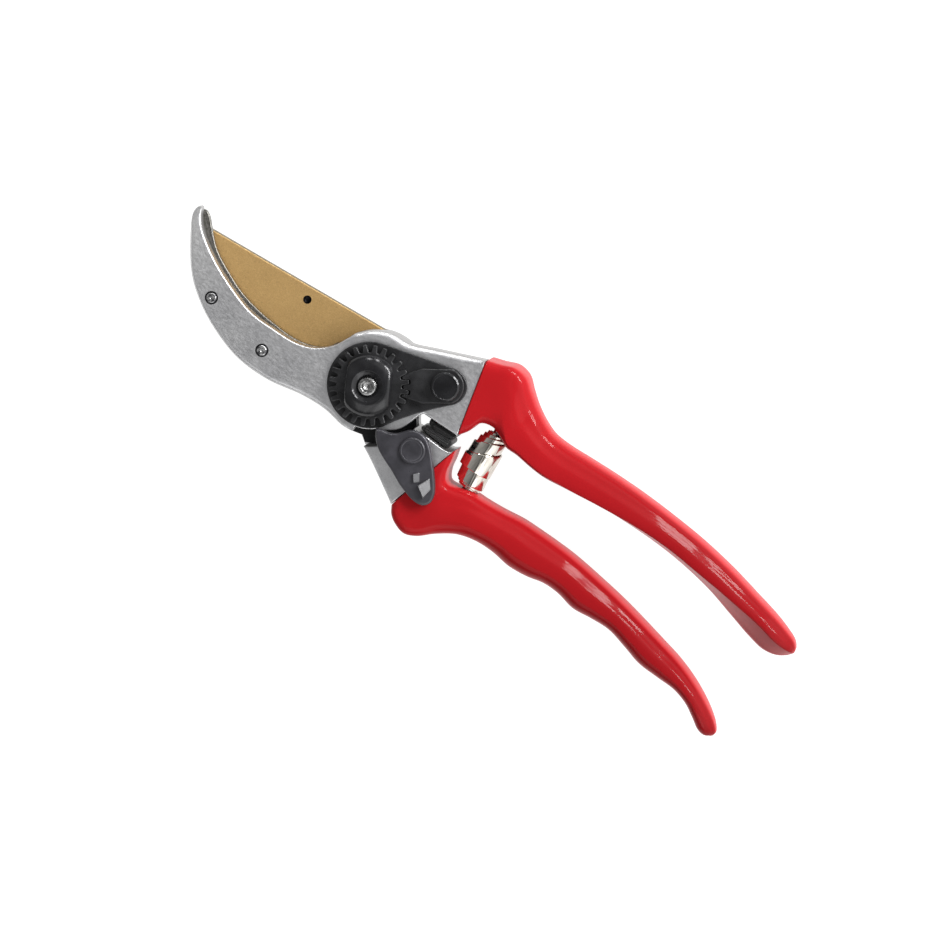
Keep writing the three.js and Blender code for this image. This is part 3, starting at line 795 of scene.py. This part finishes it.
def pivot_nut(material):
    """A domed nut with two flats and a dished rim round the bolt's end."""
    bm = bmesh.new()
    base = low("pivot_nut")
    top = high("pivot_nut")
    levels = [
        (8.6, 6.5, base), (8.8, 6.72, base + 0.2), (8.85, 6.8, base + 0.5), (8.85, 6.8, top - 2.1),
        (8.75, 6.77, top - 1.95), (8.4, 6.7, top - 1.65),
    ]
    crest = 4.7
    dome_steps = 8
    for k in range(dome_steps + 1):
        radius = mix(8.0, crest, k / dome_steps)
        levels.append((radius, 6.6, top - 0.15 * (radius - crest) ** 1.7))
    round_all = 9
    for radius, drop in ((4.5, 0.03), (4.3, 0.3), (3.3, 0.4), (3.0, 0.6), (2.95, 0.8), (2.95, 1.6)):
        levels.append((radius, round_all, top - drop))
    add_rings(bm, [nut_ring(*level) for level in levels])
    piece("pivot_nut", bm, material, sharp=50)


def pivot_bolt(material):
    """The bolt, with a chamfered head behind and a punched, threaded end in front."""
    bm = bmesh.new()
    head = 8.0
    head_top = 2.3
    shank = 5.0
    shoulder = low("lock_plate")
    crest = 2.62
    root = 2.35
    pitch = 0.5
    end = high("pivot_bolt")
    profile = [(0, 0.25), (2.0, 0.25), (2.2, 0.0), (head - 0.9, 0.0), (head - 0.2, 0.45), (head, 0.8)]
    profile += [(head, head_top - 0.2), (head - 0.2, head_top), (shank, head_top), (shank, shoulder)]
    profile.append((2.65, shoulder))
    z = low("pivot_nut")
    while z < end - 0.9:
        profile += [(crest, z), (root, z + pitch / 2)]
        z += pitch
    profile += [(crest, end - 0.5), (2.5, end - 0.15), (2.2, end), (1.75, end), (1.6, end - 0.1)]
    profile += [(1.1, end - 0.12), (0.75, end - 0.28), (0.45, end - 0.6), (0, end - 0.75)]
    add_turned(bm, profile)
    piece("pivot_bolt", bm, material, sharp=30)


def toothed_segment(material):
    """A tongue under the screw that meshes with the collar's teeth."""
    screw = centre("segment_screw")
    axis = degrees(atan2(screw[1], screw[0]))
    left = axis + 18
    right = axis - 18
    root = 12.1
    shoulder = 16.5
    waist = 18.6

    def at(radius, turn):
        return polar(radius, radians(turn))

    shape = Outline(
        (tooth_points(0.45, left, right, 100), 0.15),
        (straight(at(root, right), at(shoulder, right), 0.5), 0.3),
        (run([at(shoulder, right), at(waist, axis - 15.5)], 0.5), 0.3),
        (arc(screw, 5.2, axis - 72, axis + 72, 0.5), 0.3),
        (run([at(waist, axis + 15.5), at(shoulder, left)], 0.5), 0.3),
        (straight(at(shoulder, left), at(root, left), 0.5), 0.3),
        blend=2,
    )
    plate_piece("toothed_segment", material, shape, flat=0.1)


def segment_screw(material):
    """A low head with faceted sides and a rim round its top."""
    node = "segment_screw"
    top = high(node)
    seat = low("pivot_nut") - 0.2
    corners = [
        (0, low(node)), (2.0, low(node)), (2.0, seat), (4.3, seat), (4.3, top - 0.45),
        (4.2, top - 0.32), (3.75, top - 0.05), (3.55, top), (3.45, top - 0.12), (0, top - 0.12),
    ]
    turned_piece(node, material, ANVIL, corners, 0.06, 2, 16, sharp=18)


def corrugated_pad(node, body, material, corners, rib, offsets, radius):
    """A rubber pad whose upper face has bars along it, offset sideways from one line."""
    bm = bmesh.new()
    top = high(node)
    shape = Outline((run(corners + corners[:1], 0.4), 0.35), blend=0)
    add_plate(bm, shape, low(node), top - 0.5, steps=3, under=0.3, flat=0.1)
    rib_height = top - 0.72
    slope = 0.15
    for across in offsets:
        offset = Vector((-across * slope, across, rib_height))
        start, end = [Vector((*point, 0)) + offset for point in rib]
        add_bar(bm, start, end, radius)
    piece(node, bm, material, body, name=node + "_pad")


def add_bar(bm, start, end, radius):
    """A straight bar with round ends."""
    along = (end - start).normalized()
    side = along.cross(Vector((0, 0, 1))).normalized()
    up = side.cross(along)
    cap = quarter(5)
    spine = [(start - along * radius * cosine, radius * sine) for cosine, sine in cap]
    spine += [(end + along * radius * sine, radius * cosine) for cosine, sine in cap]
    rings = []
    for middle, reach in spine:
        reach = max(reach, LEAST_REACH)
        ring = []
        for turn in full_turn(20):
            ring.append(tuple(middle + side * reach * cos(turn) + up * reach * sin(turn)))
        rings.append(ring)
    add_rings(bm, rings)


# ---------------- grips

# Each rib is a point on the upper edge, the facing point on the lower edge, and half the
# depth where the grip is shallower than GRIP_DEPTH.
GRIP_DEPTH = 9.4
THUMB_RIBS = [
    (21.52, 27.08, 28.82, 4.78), (25.5, 28.8, 30.4, 7.6), (29.2, 30.6, 31.7, 11.7),
    (33.4, 30.5, 35.0, 12.9), (37.3, 28.1, 38.5, 11.9), (41.2, 25.7, 41.8, 10.6),
    (45.5, 23.7, 45.6, 10.9), (50.0, 22.4, 50.2, 10.8), (55.5, 22.5, 55.9, 10.9),
    (62.0, 23.4, 62.5, 12.0), (70.3, 24.5, 70.7, 13.4), (80.6, 25.5, 80.8, 14.8),
    (91.6, 26.0, 91.0, 15.8), (103.0, 26.1, 101.5, 16.1), (114.5, 25.4, 112.4, 15.4, 9.3),
    (125.0, 24.1, 122.6, 13.7, 9.0), (133.2, 23.0, 130.5, 12.4, 8.4), (138.3, 21.9, 136.0, 12.1, 7.2),
    (141.4, 20.9, 139.8, 13.3, 5.6), (143.1, 19.4, 142.3, 15.4, 3.4), (143.6, 18.0, 143.4, 17.2, 1.0),
]
FINGER_RIBS = [
    (30.93, 0.95, 26.62, -23.35), (32.1, -2.4, 28.4, -25.6), (33.0, -5.6, 31.2, -27.1),
    (34.9, -8.0, 34.7, -27.7), (38.0, -7.5, 38.0, -26.1), (42.0, -6.0, 41.7, -22.3),
    (47.0, -5.3, 46.6, -18.4), (52.5, -4.3, 52.0, -16.4), (58.5, -2.9, 58.0, -15.7),
    (64.3, -2.2, 64.0, -15.9), (70.2, -1.7, 70.0, -14.8), (75.5, -1.4, 75.1, -13.1),
    (80.5, -1.4, 80.2, -12.7), (86.5, -1.6, 86.1, -13.3), (92.5, -1.9, 92.2, -12.1, 9.3),
    (98.8, -2.4, 98.1, -11.3, 9.2), (106.0, -3.2, 104.7, -12.2, 9.1),
    (112.5, -4.0, 111.0, -13.3, 8.9), (119.2, -4.9, 117.5, -13.0, 8.5),
    (125.5, -6.4, 123.7, -12.6, 8.0), (131.0, -8.3, 128.8, -13.6, 7.3),
    (135.8, -10.5, 133.0, -15.6, 6.4), (139.2, -12.6, 136.2, -17.3, 5.0),
    (141.0, -14.5, 138.6, -17.6, 3.0), (141.0, -15.9, 140.3, -16.7, 1.0),
]

# Half sections from the upper edge to the lower edge, as shares of the depth and the width.
BOX_TOP = [(0, 1), (0.5, 1), (0.84, 0.97), (0.965, 0.84), (1, 0.5), (1, 0.25)]
BOX = [*BOX_TOP, (1, 0), *[(x, -y) for x, y in reversed(BOX_TOP)]]
# Flanks from the crest outward: the share of the way to the edge, and of the depth there.
UPPER_FLANK = [(1, 0), (0.99, 0.32), (0.93, 0.59), (0.8, 0.75), (0.62, 0.84), (0.42, 0.94), (0, 1)]
ROUND_FLANK = [(0.1, 0.995), (0.35, 0.955), (0.6, 0.85), (0.82, 0.65), (0.95, 0.4), (1, 0)]
FLAT_FLANK = [(0.05, 0.94), (0.2, 0.72), (0.45, 0.34), (0.72, -0.08), (0.93, -0.4), (1, -0.6)]
BACK_FLANK = [(0.1, 1), (0.35, 0.99), (0.6, 0.97), (0.82, 0.93), (0.95, 0.82), (1, 0.6)]


def half_section(box, crest, crease, leaning):
    """A half section from a squared to a crested shape, with a round or a leaning lower flank."""
    knots = [(depth, mix(crest, 1, share)) for share, depth in UPPER_FLANK]
    for (first, plain), (last, flat) in zip(ROUND_FLANK, leaning):
        share = mix(first, last, crease)
        knots.append((mix(plain, flat, crease), mix(crest, -1, share)))
    return [(mix(k[0], b[0], box), mix(k[1], b[1], box)) for k, b in zip(knots, BOX)]


def section_ring(upper, lower, inset, front, back):
    """The grip's ring of points between two edge points, each with half the depth."""
    a = Vector((upper[0], upper[1], 0))
    b = Vector((lower[0], lower[1], 0))
    middle = (a + b) / 2
    across = (a - b).normalized()
    least = 0.05
    reach = max((a - b).length / 2 - inset, least)
    depth = max(upper[2] - inset, least)
    half = 44
    loop = [catmull(front, i / half) for i in range(half + 1)]
    for i in range(half - 1, 0, -1):
        x, y = catmull(back, i / half)
        loop.append((-x, y))
    ring = []
    for x, y in loop:
        ring.append(tuple(middle + across * (y * reach) + Vector((0, 0, HANDLE_MID + x * depth))))
    return ring


def grip(node, body, ribs, material, box_end, crests, crease):
    """A dipped grip, square at its lead and then crested; the crest is set at three ribs."""
    bm = bmesh.new()
    depths = [rib[4] if len(rib) > 4 else GRIP_DEPTH for rib in ribs]
    uppers = [(*rib[:2], depth) for rib, depth in zip(ribs, depths)]
    lowers = [(*rib[2:4], depth) for rib, depth in zip(ribs, depths)]
    lip = 0.4
    last_rib = len(ribs) - 1
    length = 4.0 * last_rib
    # Each station is a share of the way along and an inset, which rounds the lead's lip.
    stations = [(0.0, 1.3)]
    for cosine, sine in quarter(5):
        stations.append((lip * (1 - cosine) / length, lip * (1 - sine)))
    count = 190
    stations += [(t / count, 0.0) for t in range(2, count + 1)]
    (start, first), (bend, second), (end, third) = crests
    rings = []
    for along, inset in stations:
        rib = along * last_rib
        box = mix(1.0, 0.0, smoothstep(rib, 1.5, box_end))
        crest = mix(first, second, smoothstep(rib, start, bend))
        crest = mix(crest, third, smoothstep(rib, bend, end))
        creased = crease * smoothstep(rib, start - 2, start + 2)
        front = half_section(box, crest, creased, FLAT_FLANK)
        back = half_section(box, crest, creased, BACK_FLANK)
        rings.append(section_ring(catmull(uppers, along), catmull(lowers, along), inset, front, back))
    add_rings(bm, rings)
    piece(node, bm, material, body, sharp=60, name=node + "_skin")


# ---------------- blade side

BLADE_EDGE = [
    (-67.2, 2.9), (-60.0, -1.9), (-53.0, -4.9), (-45.0, -7.2), (-37.0, -8.2), (-29.0, -8.4),
    (-21.0, -9.2), (-13.6, -12.0), (-8.0, -13.2),
]
BLOCK_CREST = [(29.6, -0.5), (27.6, -0.9), (24.8, -1.0), (21.6, -1.2), (17.9, -1.6)]
HEEL_RADIUS = 15.4
HEEL_REACH = 17.5


def cutting_blade(material):
    """A flat blade with a wide ground bevel behind its edge and a thin one at its back."""
    bm = bmesh.new()
    bottom = low("cutting_blade")
    top = high("cutting_blade")
    shape = Outline(
        (run(BLADE_EDGE, 0.7), 0.12),
        (arc(ORIGIN, HEEL_RADIUS, -120, -69), 0.12),
        (straight((6.9, -13.9), (8.8, -15.1)), 0.12),
        (arc(ORIGIN, HEEL_REACH, -59, -5), 0.12),
        (arc(ORIGIN, HEEL_RADIUS, 3, 104), 0.12),
        (straight((-5.6, 14.4), (-66.0, 4.1)), 0.4),
        blend=1,
    )
    chamfer = 0.25
    grind = 3.2
    back_rim = 0.3
    ground = []
    for x, y in shape.points:
        on_edge = y < 2.5 and x < -9
        fade = smoothstep(-x, 9, 24) * smoothstep(x, -67.5, -62)
        ground.append(mix(chamfer, grind, fade) if on_edge else chamfer)
    rings = [
        shape.level([g + 0.3 for g in ground], bottom),
        shape.level(ground, bottom),
        shape.level(0, [bottom + min(2.2, chamfer + 0.65 * g) for g in ground]),
        shape.level(0, top - back_rim),
    ]
    for k in (0.5, 1.0):
        rings.append(shape.level([r * k for r in shape.radii], top - back_rim * (1 - k) ** 1.5))
    rings.append(shape.level([r + 0.2 for r in shape.radii], top))
    add_rings(bm, rings)
    obj = piece("cutting_blade", bm, material, BLADE)
    hole = bmesh.new()
    hole_foot = top - 1.4
    hole_top = top + 1
    sides = [(0, hole_foot), (1.2, hole_foot), (1.2, hole_top), (0, hole_top)]
    add_turned(hole, sides, LOCATING_HOLE, 48)
    carve(obj, hole)


def blade_handle(material):
    """A boss behind the blade and the deep block that carries the grip."""
    bm = bmesh.new()
    inner_end = ((24, -21.6), (24, -2.1))
    boss = Outline(
        (arc(ORIGIN, HEEL_RADIUS, 28, 268), 0.5),
        (run([(0, -15.1), (5.6, -14.3), (9.3, -16.1), (14.1, -17.1), inner_end[0]]), 0.5),
        (straight(*inner_end), 0.3),
        (run([inner_end[1], (18.4, -1.9), (15.2, 2.0), (13.6, 7.2)]), 0.5),
    )
    add_plate(bm, boss, low("pivot_bush"), low("cutting_blade") - 0.3, steps=3, under=0.6)
    block = Outline(
        (run([(9.9, -15.2), (14.1, -17.0), FINGER_LEAD[0]]), 0.7),
        (straight(*FINGER_LEAD), 0.2),
        (run([FINGER_LEAD[1], *BLOCK_CREST]), 0.35),
        (arc(ORIGIN, SHOULDER_RADIUS - 0.4, -6, -57), 0.25),
        blend=3,
    )
    add_plate(bm, block, low("blade_handle"), high("blade_handle"), under=1.0)
    piece("blade_handle", bm, material, BLADE, name="blade_casting")


def blade_screw(material):
    """A screw with a recess in its head, which is behind."""
    node = "blade_screw"
    bottom = low(node)
    corners = [
        (0, bottom + 0.55), (1.1, bottom + 0.55), (1.25, bottom), (2.3, bottom), (2.6, bottom + 0.3),
        (2.6, bottom + 1.4), (1.6, bottom + 1.4), (1.6, high(node)), (0, high(node)),
    ]
    turned_piece(node, material, BLADE, corners, 0.1, 2, 48)


def catch_rivet(material):
    """A wide low head with a groove inside its rim."""
    node = "catch_rivet"
    top = high(node)
    seat = top - 0.75
    corners = [
        (0, low(node)), (1.9, low(node)), (1.9, seat), (3.8, seat), (3.8, seat + 0.35),
        (3.45, top - 0.12), (3.2, top - 0.1), (3.0, top - 0.22), (2.7, top - 0.1), (1.2, top),
        (0, top),
    ]
    turned_piece(node, material, BLADE, corners, 0.12, 3, 64)


# ---------------- catch

LEVER = [
    (9.4, -8.2), (11.1, -10.4), (13.4, -12.2), (16.4, -13.5), (20.4, -14.7), (25.7, -16.6),
    (31.5, -17.5), (34.0, -16.8), (35.2, -14.9), (34.8, -12.6), (33.2, -10.2), (27.8, -4.7),
    (25.1, -2.4), (23.0, -1.2), (20.8, -0.8), (18.9, -1.2), (17.2, -2.4), (14.9, -5.5),
    (13.0, -6.8), (10.9, -7.4), (9.4, -8.2),
]


def catch_lever(material):
    """The leaf-shaped lever with two thumb facets."""
    bm = bmesh.new()
    bottom = low("catch_lever")
    top = bottom + 2.3
    shape = Outline((run(LEVER, 0.5), 0.75), blend=0)
    add_plate(bm, shape, bottom, top, under=0.3, flat=0.2)
    foot = top - 0.25
    crest = high("catch_lever")
    add_wedge(bm, [(26.0, -11.3), (27.9, -13.3), (29.2, -12.0), (27.4, -9.8)], foot, crest - 0.9)
    add_wedge(bm, [(29.2, -13.0), (32.9, -15.0), (33.0, -11.6), (30.6, -9.2)], foot, crest)
    piece("catch_lever", bm, material, CATCH, sharp=24)


def add_wedge(bm, corners, bottom, top):
    """A thumb facet: it is highest along its first edge and slopes down to the opposite one."""
    a, b, c, d = [Vector(p) for p in corners]
    middle = (a + b + c + d) / 4
    sides = ((a, b, 1, 1), (b, c, 1, 0), (c, d, 0, 0), (d, a, 0, 1))
    steps = 8
    lowest = 0.16
    rings = []
    for shrink, rise in ((0.0, 0.0), (0.03, 0.55), (0.06, 0.86), (0.12, 0.97), (0.2, 1.0)):
        ring = []
        for start, end, start_height, end_height in sides:
            for k in range(steps):
                t = k / steps
                p = start.lerp(end, t).lerp(middle, shrink)
                share = mix(mix(start_height, end_height, t), 0.5, shrink)
                ring.append((p.x, p.y, mix(bottom, top, rise * mix(lowest, 1.0, share))))
        rings.append(ring)
    add_rings(bm, rings)


# ---------------- spring

HANDLE_MID = (low("anvil_grip") + high("anvil_grip")) / 2
SPRING_TOP = Vector((37.0, 11.7, HANDLE_MID))
SPRING_FOOT = Vector((40.35, -6.8, HANDLE_MID))
# Each row is one turn of the strip: its radius and its lower and upper edge's height.
COILS = [
    (2.3, 0.0, 1.3), (2.9, 0.6, 3.2), (3.5, 1.2, 5.6), (4.2, 1.9, 8.6), (4.9, 6.0, 11.6),
    (4.2, 9.4, 15.4), (3.5, 12.4, 16.9), (2.9, 15.2, 17.9), (2.3, 17.1, 18.6),
]


def arched(share):
    """0 at both ends of the spring and 1 in its middle."""
    return sin(pi * min(1, max(0, share)))


def volute_spring(material):
    """A flat strip wound in two cones, widest where they meet in the middle."""
    bm = bmesh.new()
    axis = (SPRING_TOP - SPRING_FOOT).normalized()
    side = axis.cross(Vector((0, 0, 1))).normalized()
    front = side.cross(axis)
    full_height = COILS[-1][2]
    stretch = (SPRING_TOP - SPRING_FOOT).length / full_height
    thick = 0.22
    coil_lean = 0.8
    most_bow = 0.7
    turns = len(COILS) - 1
    steps = 72 * turns
    rings = []
    for i in range(steps + 1):
        radius, lower, upper = catmull(COILS, i / steps)
        phase = 2 * pi * turns * i / steps
        outward = front * cos(phase) + side * sin(phase)
        lean = coil_lean * sin(phase) * arched((lower + upper) / 2 / full_height)
        bottom = lower - lean * 1.3
        top = upper + lean
        ring = []
        edge = min(0.15, (top - bottom) * 0.25)
        corners = [
            (-1, bottom + edge), (-0.6, bottom), (0.6, bottom), (1, bottom + edge),
            (1, top - edge), (0.6, top), (-0.6, top), (-1, top - edge),
        ]
        for out, height in corners:
            bow = most_bow * arched(height / full_height)
            place = SPRING_FOOT + axis * (height * stretch) - side * bow
            ring.append(tuple(place + outward * (radius + out * thick)))
        rings.append(ring)
    add_rings(bm, rings)
    node = "volute_spring"
    obj = piece(node, bm, material, None, sharp=30, name=node + "_strip")
    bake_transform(obj)


# ---------------- stage


def keep_cad(node, material):
    """A CAD node that stays, with its own material."""
    for slot in frame["nodes"][node].material_slots:
        slot.material = material


ROLL = radians(40)
VIEW_LEAN = Vector((0.04, 0.16, 1.0)).normalized()
VIEW_CENTRE = Vector((0.04, -0.0005, 0.019))
VIEW_WIDTH = 0.2742
LEVEL = Vector((cos(ROLL), sin(ROLL), 0))
VIEW_RIGHT = (LEVEL - VIEW_LEAN * LEVEL.dot(VIEW_LEAN)).normalized()
VIEW_UP = VIEW_LEAN.cross(VIEW_RIGHT)


def camera():
    """A far camera that looks down along VIEW_LEAN."""
    distance = 1.6
    sensor = 36
    data = bpy.data.cameras.new("camera")
    data.sensor_width = sensor
    data.lens = sensor * distance / VIEW_WIDTH
    data.clip_start = 0.01
    obj = linked_object("camera", data)
    rotation = Matrix((VIEW_RIGHT, VIEW_UP, VIEW_LEAN)).transposed().to_4x4()
    obj.matrix_world = Matrix.Translation(VIEW_CENTRE + VIEW_LEAN * distance) @ rotation
    bpy.context.scene.camera = obj


def floor():
    """A pale, evenly lit sheet just below the part."""
    bm = bmesh.new()
    size = 3.0
    corners = [(-size, -size, 0), (size, -size, 0), (size, size, 0), (-size, size, 0)]
    bm.faces.new([bm.verts.new(c) for c in corners])
    mesh = bpy.data.meshes.new("floor")
    bm.to_mesh(mesh)
    bm.free()
    obj = linked_object("floor", mesh)
    obj.location = (0, 0, -0.5 * MM)
    s = Shader("floor", 0.0)
    s.set("Roughness", 0.9)
    s.color_from(s.noise(40, 2), [0.195] * 3, [0.205] * 3)
    s.set("Specular IOR Level", 0.05)
    s.set("Emission Color", (1, 1, 1, 1))
    s.set("Emission Strength", 0.97)
    obj.data.materials.append(s.material)


# Brightness of the studio by the cosine of the angle from the viewing direction.
SKY = [
    (0.0, 0.4), (0.2, 0.6), (0.45, 0.9), (0.62, 0.95), (0.8, 0.8), (0.93, 0.6), (0.98, 0.4), (1.0, 0.3),
]

# A second brightness, by the cosine of the angle from a cross direction. The ramp holds its
# first level below 0, so the half of the studio that is turned away stays dim.
CROSS = (0.984, 0.178, 0)
CROSS_LEVELS = [
    (0.0, 0.25), (0.05, 0.12), (0.16, 0.12), (0.2, 0.7), (0.24, 0.6), (0.28, 0.15), (0.4, 0.2),
    (0.46, 1.0),
]


def brightness(tree, coords, direction, levels):
    """Grey levels by the cosine of the angle from a direction."""
    facing = tree.nodes.new("ShaderNodeVectorMath")
    facing.operation = "DOT_PRODUCT"
    plug(tree, facing, {0: coords.outputs["Generated"], 1: direction})
    ramp = add_node(tree, "ValToRGB", {"Fac": facing.outputs["Value"]})
    stops = ramp.color_ramp.elements
    while len(stops) < len(levels):
        stops.new(0.5)
    for stop, (place, level) in zip(stops, levels):
        stop.position = place
        stop.color = (level, level, level, 1)
    return ramp.outputs["Color"]


def world():
    """A white studio, dark straight above where the camera stands."""
    surroundings = bpy.data.worlds.new("studio")
    surroundings.use_nodes = True
    tree = surroundings.node_tree
    coords = add_node(tree, "TexCoord", {})
    both = tree.nodes.new("ShaderNodeMix")
    both.data_type = "RGBA"
    both.blend_type = "MULTIPLY"
    sky = brightness(tree, coords, VIEW_LEAN, SKY)
    cross = brightness(tree, coords, CROSS, CROSS_LEVELS)
    plug(tree, both, {"Factor": 1.0, 6: sky, 7: cross})
    plug(tree, tree.nodes["Background"], {"Color": both.outputs[2], "Strength": 1.6})
    bpy.context.scene.world = surroundings


def lamp(name, bearing, height, size, power):
    """A soft box at a bearing around the view, from image right, and a height above it."""
    turn = radians(bearing)
    rise = radians(height)
    distance = 1.4
    aside = VIEW_RIGHT * cos(turn) + VIEW_UP * sin(turn)
    away = aside * cos(rise) + VIEW_LEAN * sin(rise)
    data = bpy.data.lights.new(name, "AREA")
    data.shape = "RECTANGLE"
    data.size = size[0]
    data.size_y = size[1]
    data.energy = power
    obj = linked_object(name, data)
    obj.location = VIEW_CENTRE + away * distance
    obj.rotation_euler = (-away).to_track_quat("-Z", "Y").to_euler()


PANE_BEARINGS = (12, 26, 41, 51)
PANE_HEIGHTS = (36, 46)


def studio():
    """The camera, the sky, a window's panes for streaks along the grips, and soft boxes."""
    camera()
    world()
    lamp("window_left", 99, 24, (0.16, 0.42), 3)
    lamp("window_right", 79, 24, (0.16, 0.42), 3)
    for column, bearing in enumerate(PANE_BEARINGS):
        for row, height in enumerate(PANE_HEIGHTS):
            lamp(f"pane_{row}_{column}", bearing, height, (0.15, 0.18), 2.7)
    lamp("key", 60, 45, (1.0, 1.0), 1.5)
    lamp("low_card", -100, 40, (1.4, 0.8), 4)
    bpy.context.scene.view_settings.view_transform = "Standard"


# ---------------- build

studio()
floor()

rivets = rivet_metal(high("anvil_handle") + 0.16)
stud_steel = bright_steel("stud_steel", centre("spring_stud_upper"))
oxide = black_oxide("black_oxide", (0.012, 0.012, 0.013), (0.034, 0.034, 0.036), 0.24, 0.4)
glossy_oxide = black_oxide("glossy_oxide", (0.010, 0.010, 0.011), (0.020, 0.020, 0.022), 0.12, 0.2)
slate_dark = (0.036, 0.035, 0.041)
slate_light = (0.062, 0.060, 0.070)
# The catch's steel has a painted highlight on its thumb facets.
slate = black_oxide("slate_oxide", slate_dark, slate_light, 0.26, 0.4, THUMB_FACETS)
vinyl = red_vinyl()
black_rubber = rubber()
bolt_steel = bright_steel("bolt_steel", ORIGIN)

anvil_handle(cast_aluminium("hook_aluminium", 0.35))
anvil_blade(strip_steel())
anvil_rivet("anvil_rivet_front", rivets)
anvil_rivet("anvil_rivet_rear", rivets)
lock_plate(oxide)
nut_collar(oxide)
pivot_nut(glossy_oxide)
pivot_bolt(bolt_steel)
toothed_segment(oxide)
segment_screw(glossy_oxide)
corrugated_pad(
    "anvil_bumper", ANVIL, black_rubber,
    [(19.7, 3.2), (20.0, 2.2), (21.4, 1.6), (28.4, 2.9), (28.6, 4.1), (22.8, 3.5)],
    ((21.6, 2.6), (28.0, 3.4)), [0.0], 0.55,
)
corrugated_pad(
    "blade_bumper", BLADE, black_rubber,
    [(19.0, -0.2), (20.0, 0.7), (22.4, 1.3), (28.2, 2.3), (29.1, 1.5), (28.6, -0.1), (25.5, -0.6),
     (21.4, -0.8), (19.4, -0.8)],
    ((20.4, -0.05), (27.9, 1.0)), [-0.35, 0.35, 1.0], 0.38,
)
thumb_crests = [(9, -0.75), (13, -0.4), (16, 0.13)]
grip("anvil_grip", ANVIL, THUMB_RIBS, vinyl, 5, thumb_crests, 1.0)
cutting_blade(gold_coating())
blade_handle(cast_aluminium("block_aluminium", -0.33))
blade_screw(oxide)
catch_rivet(slate)
finger_crests = [(4, -0.3), (12, -0.3), (20, -0.2)]
grip("blade_grip", BLADE, FINGER_RIBS, vinyl, 8, finger_crests, 0.0)
catch_lever(slate)
volute_spring(nickel())

keep_cad("catch_washer", oxide)
keep_cad("pivot_bush", bolt_steel)
keep_cad("spring_stud_upper", stud_steel)
keep_cad("spring_stud_lower", stud_steel)
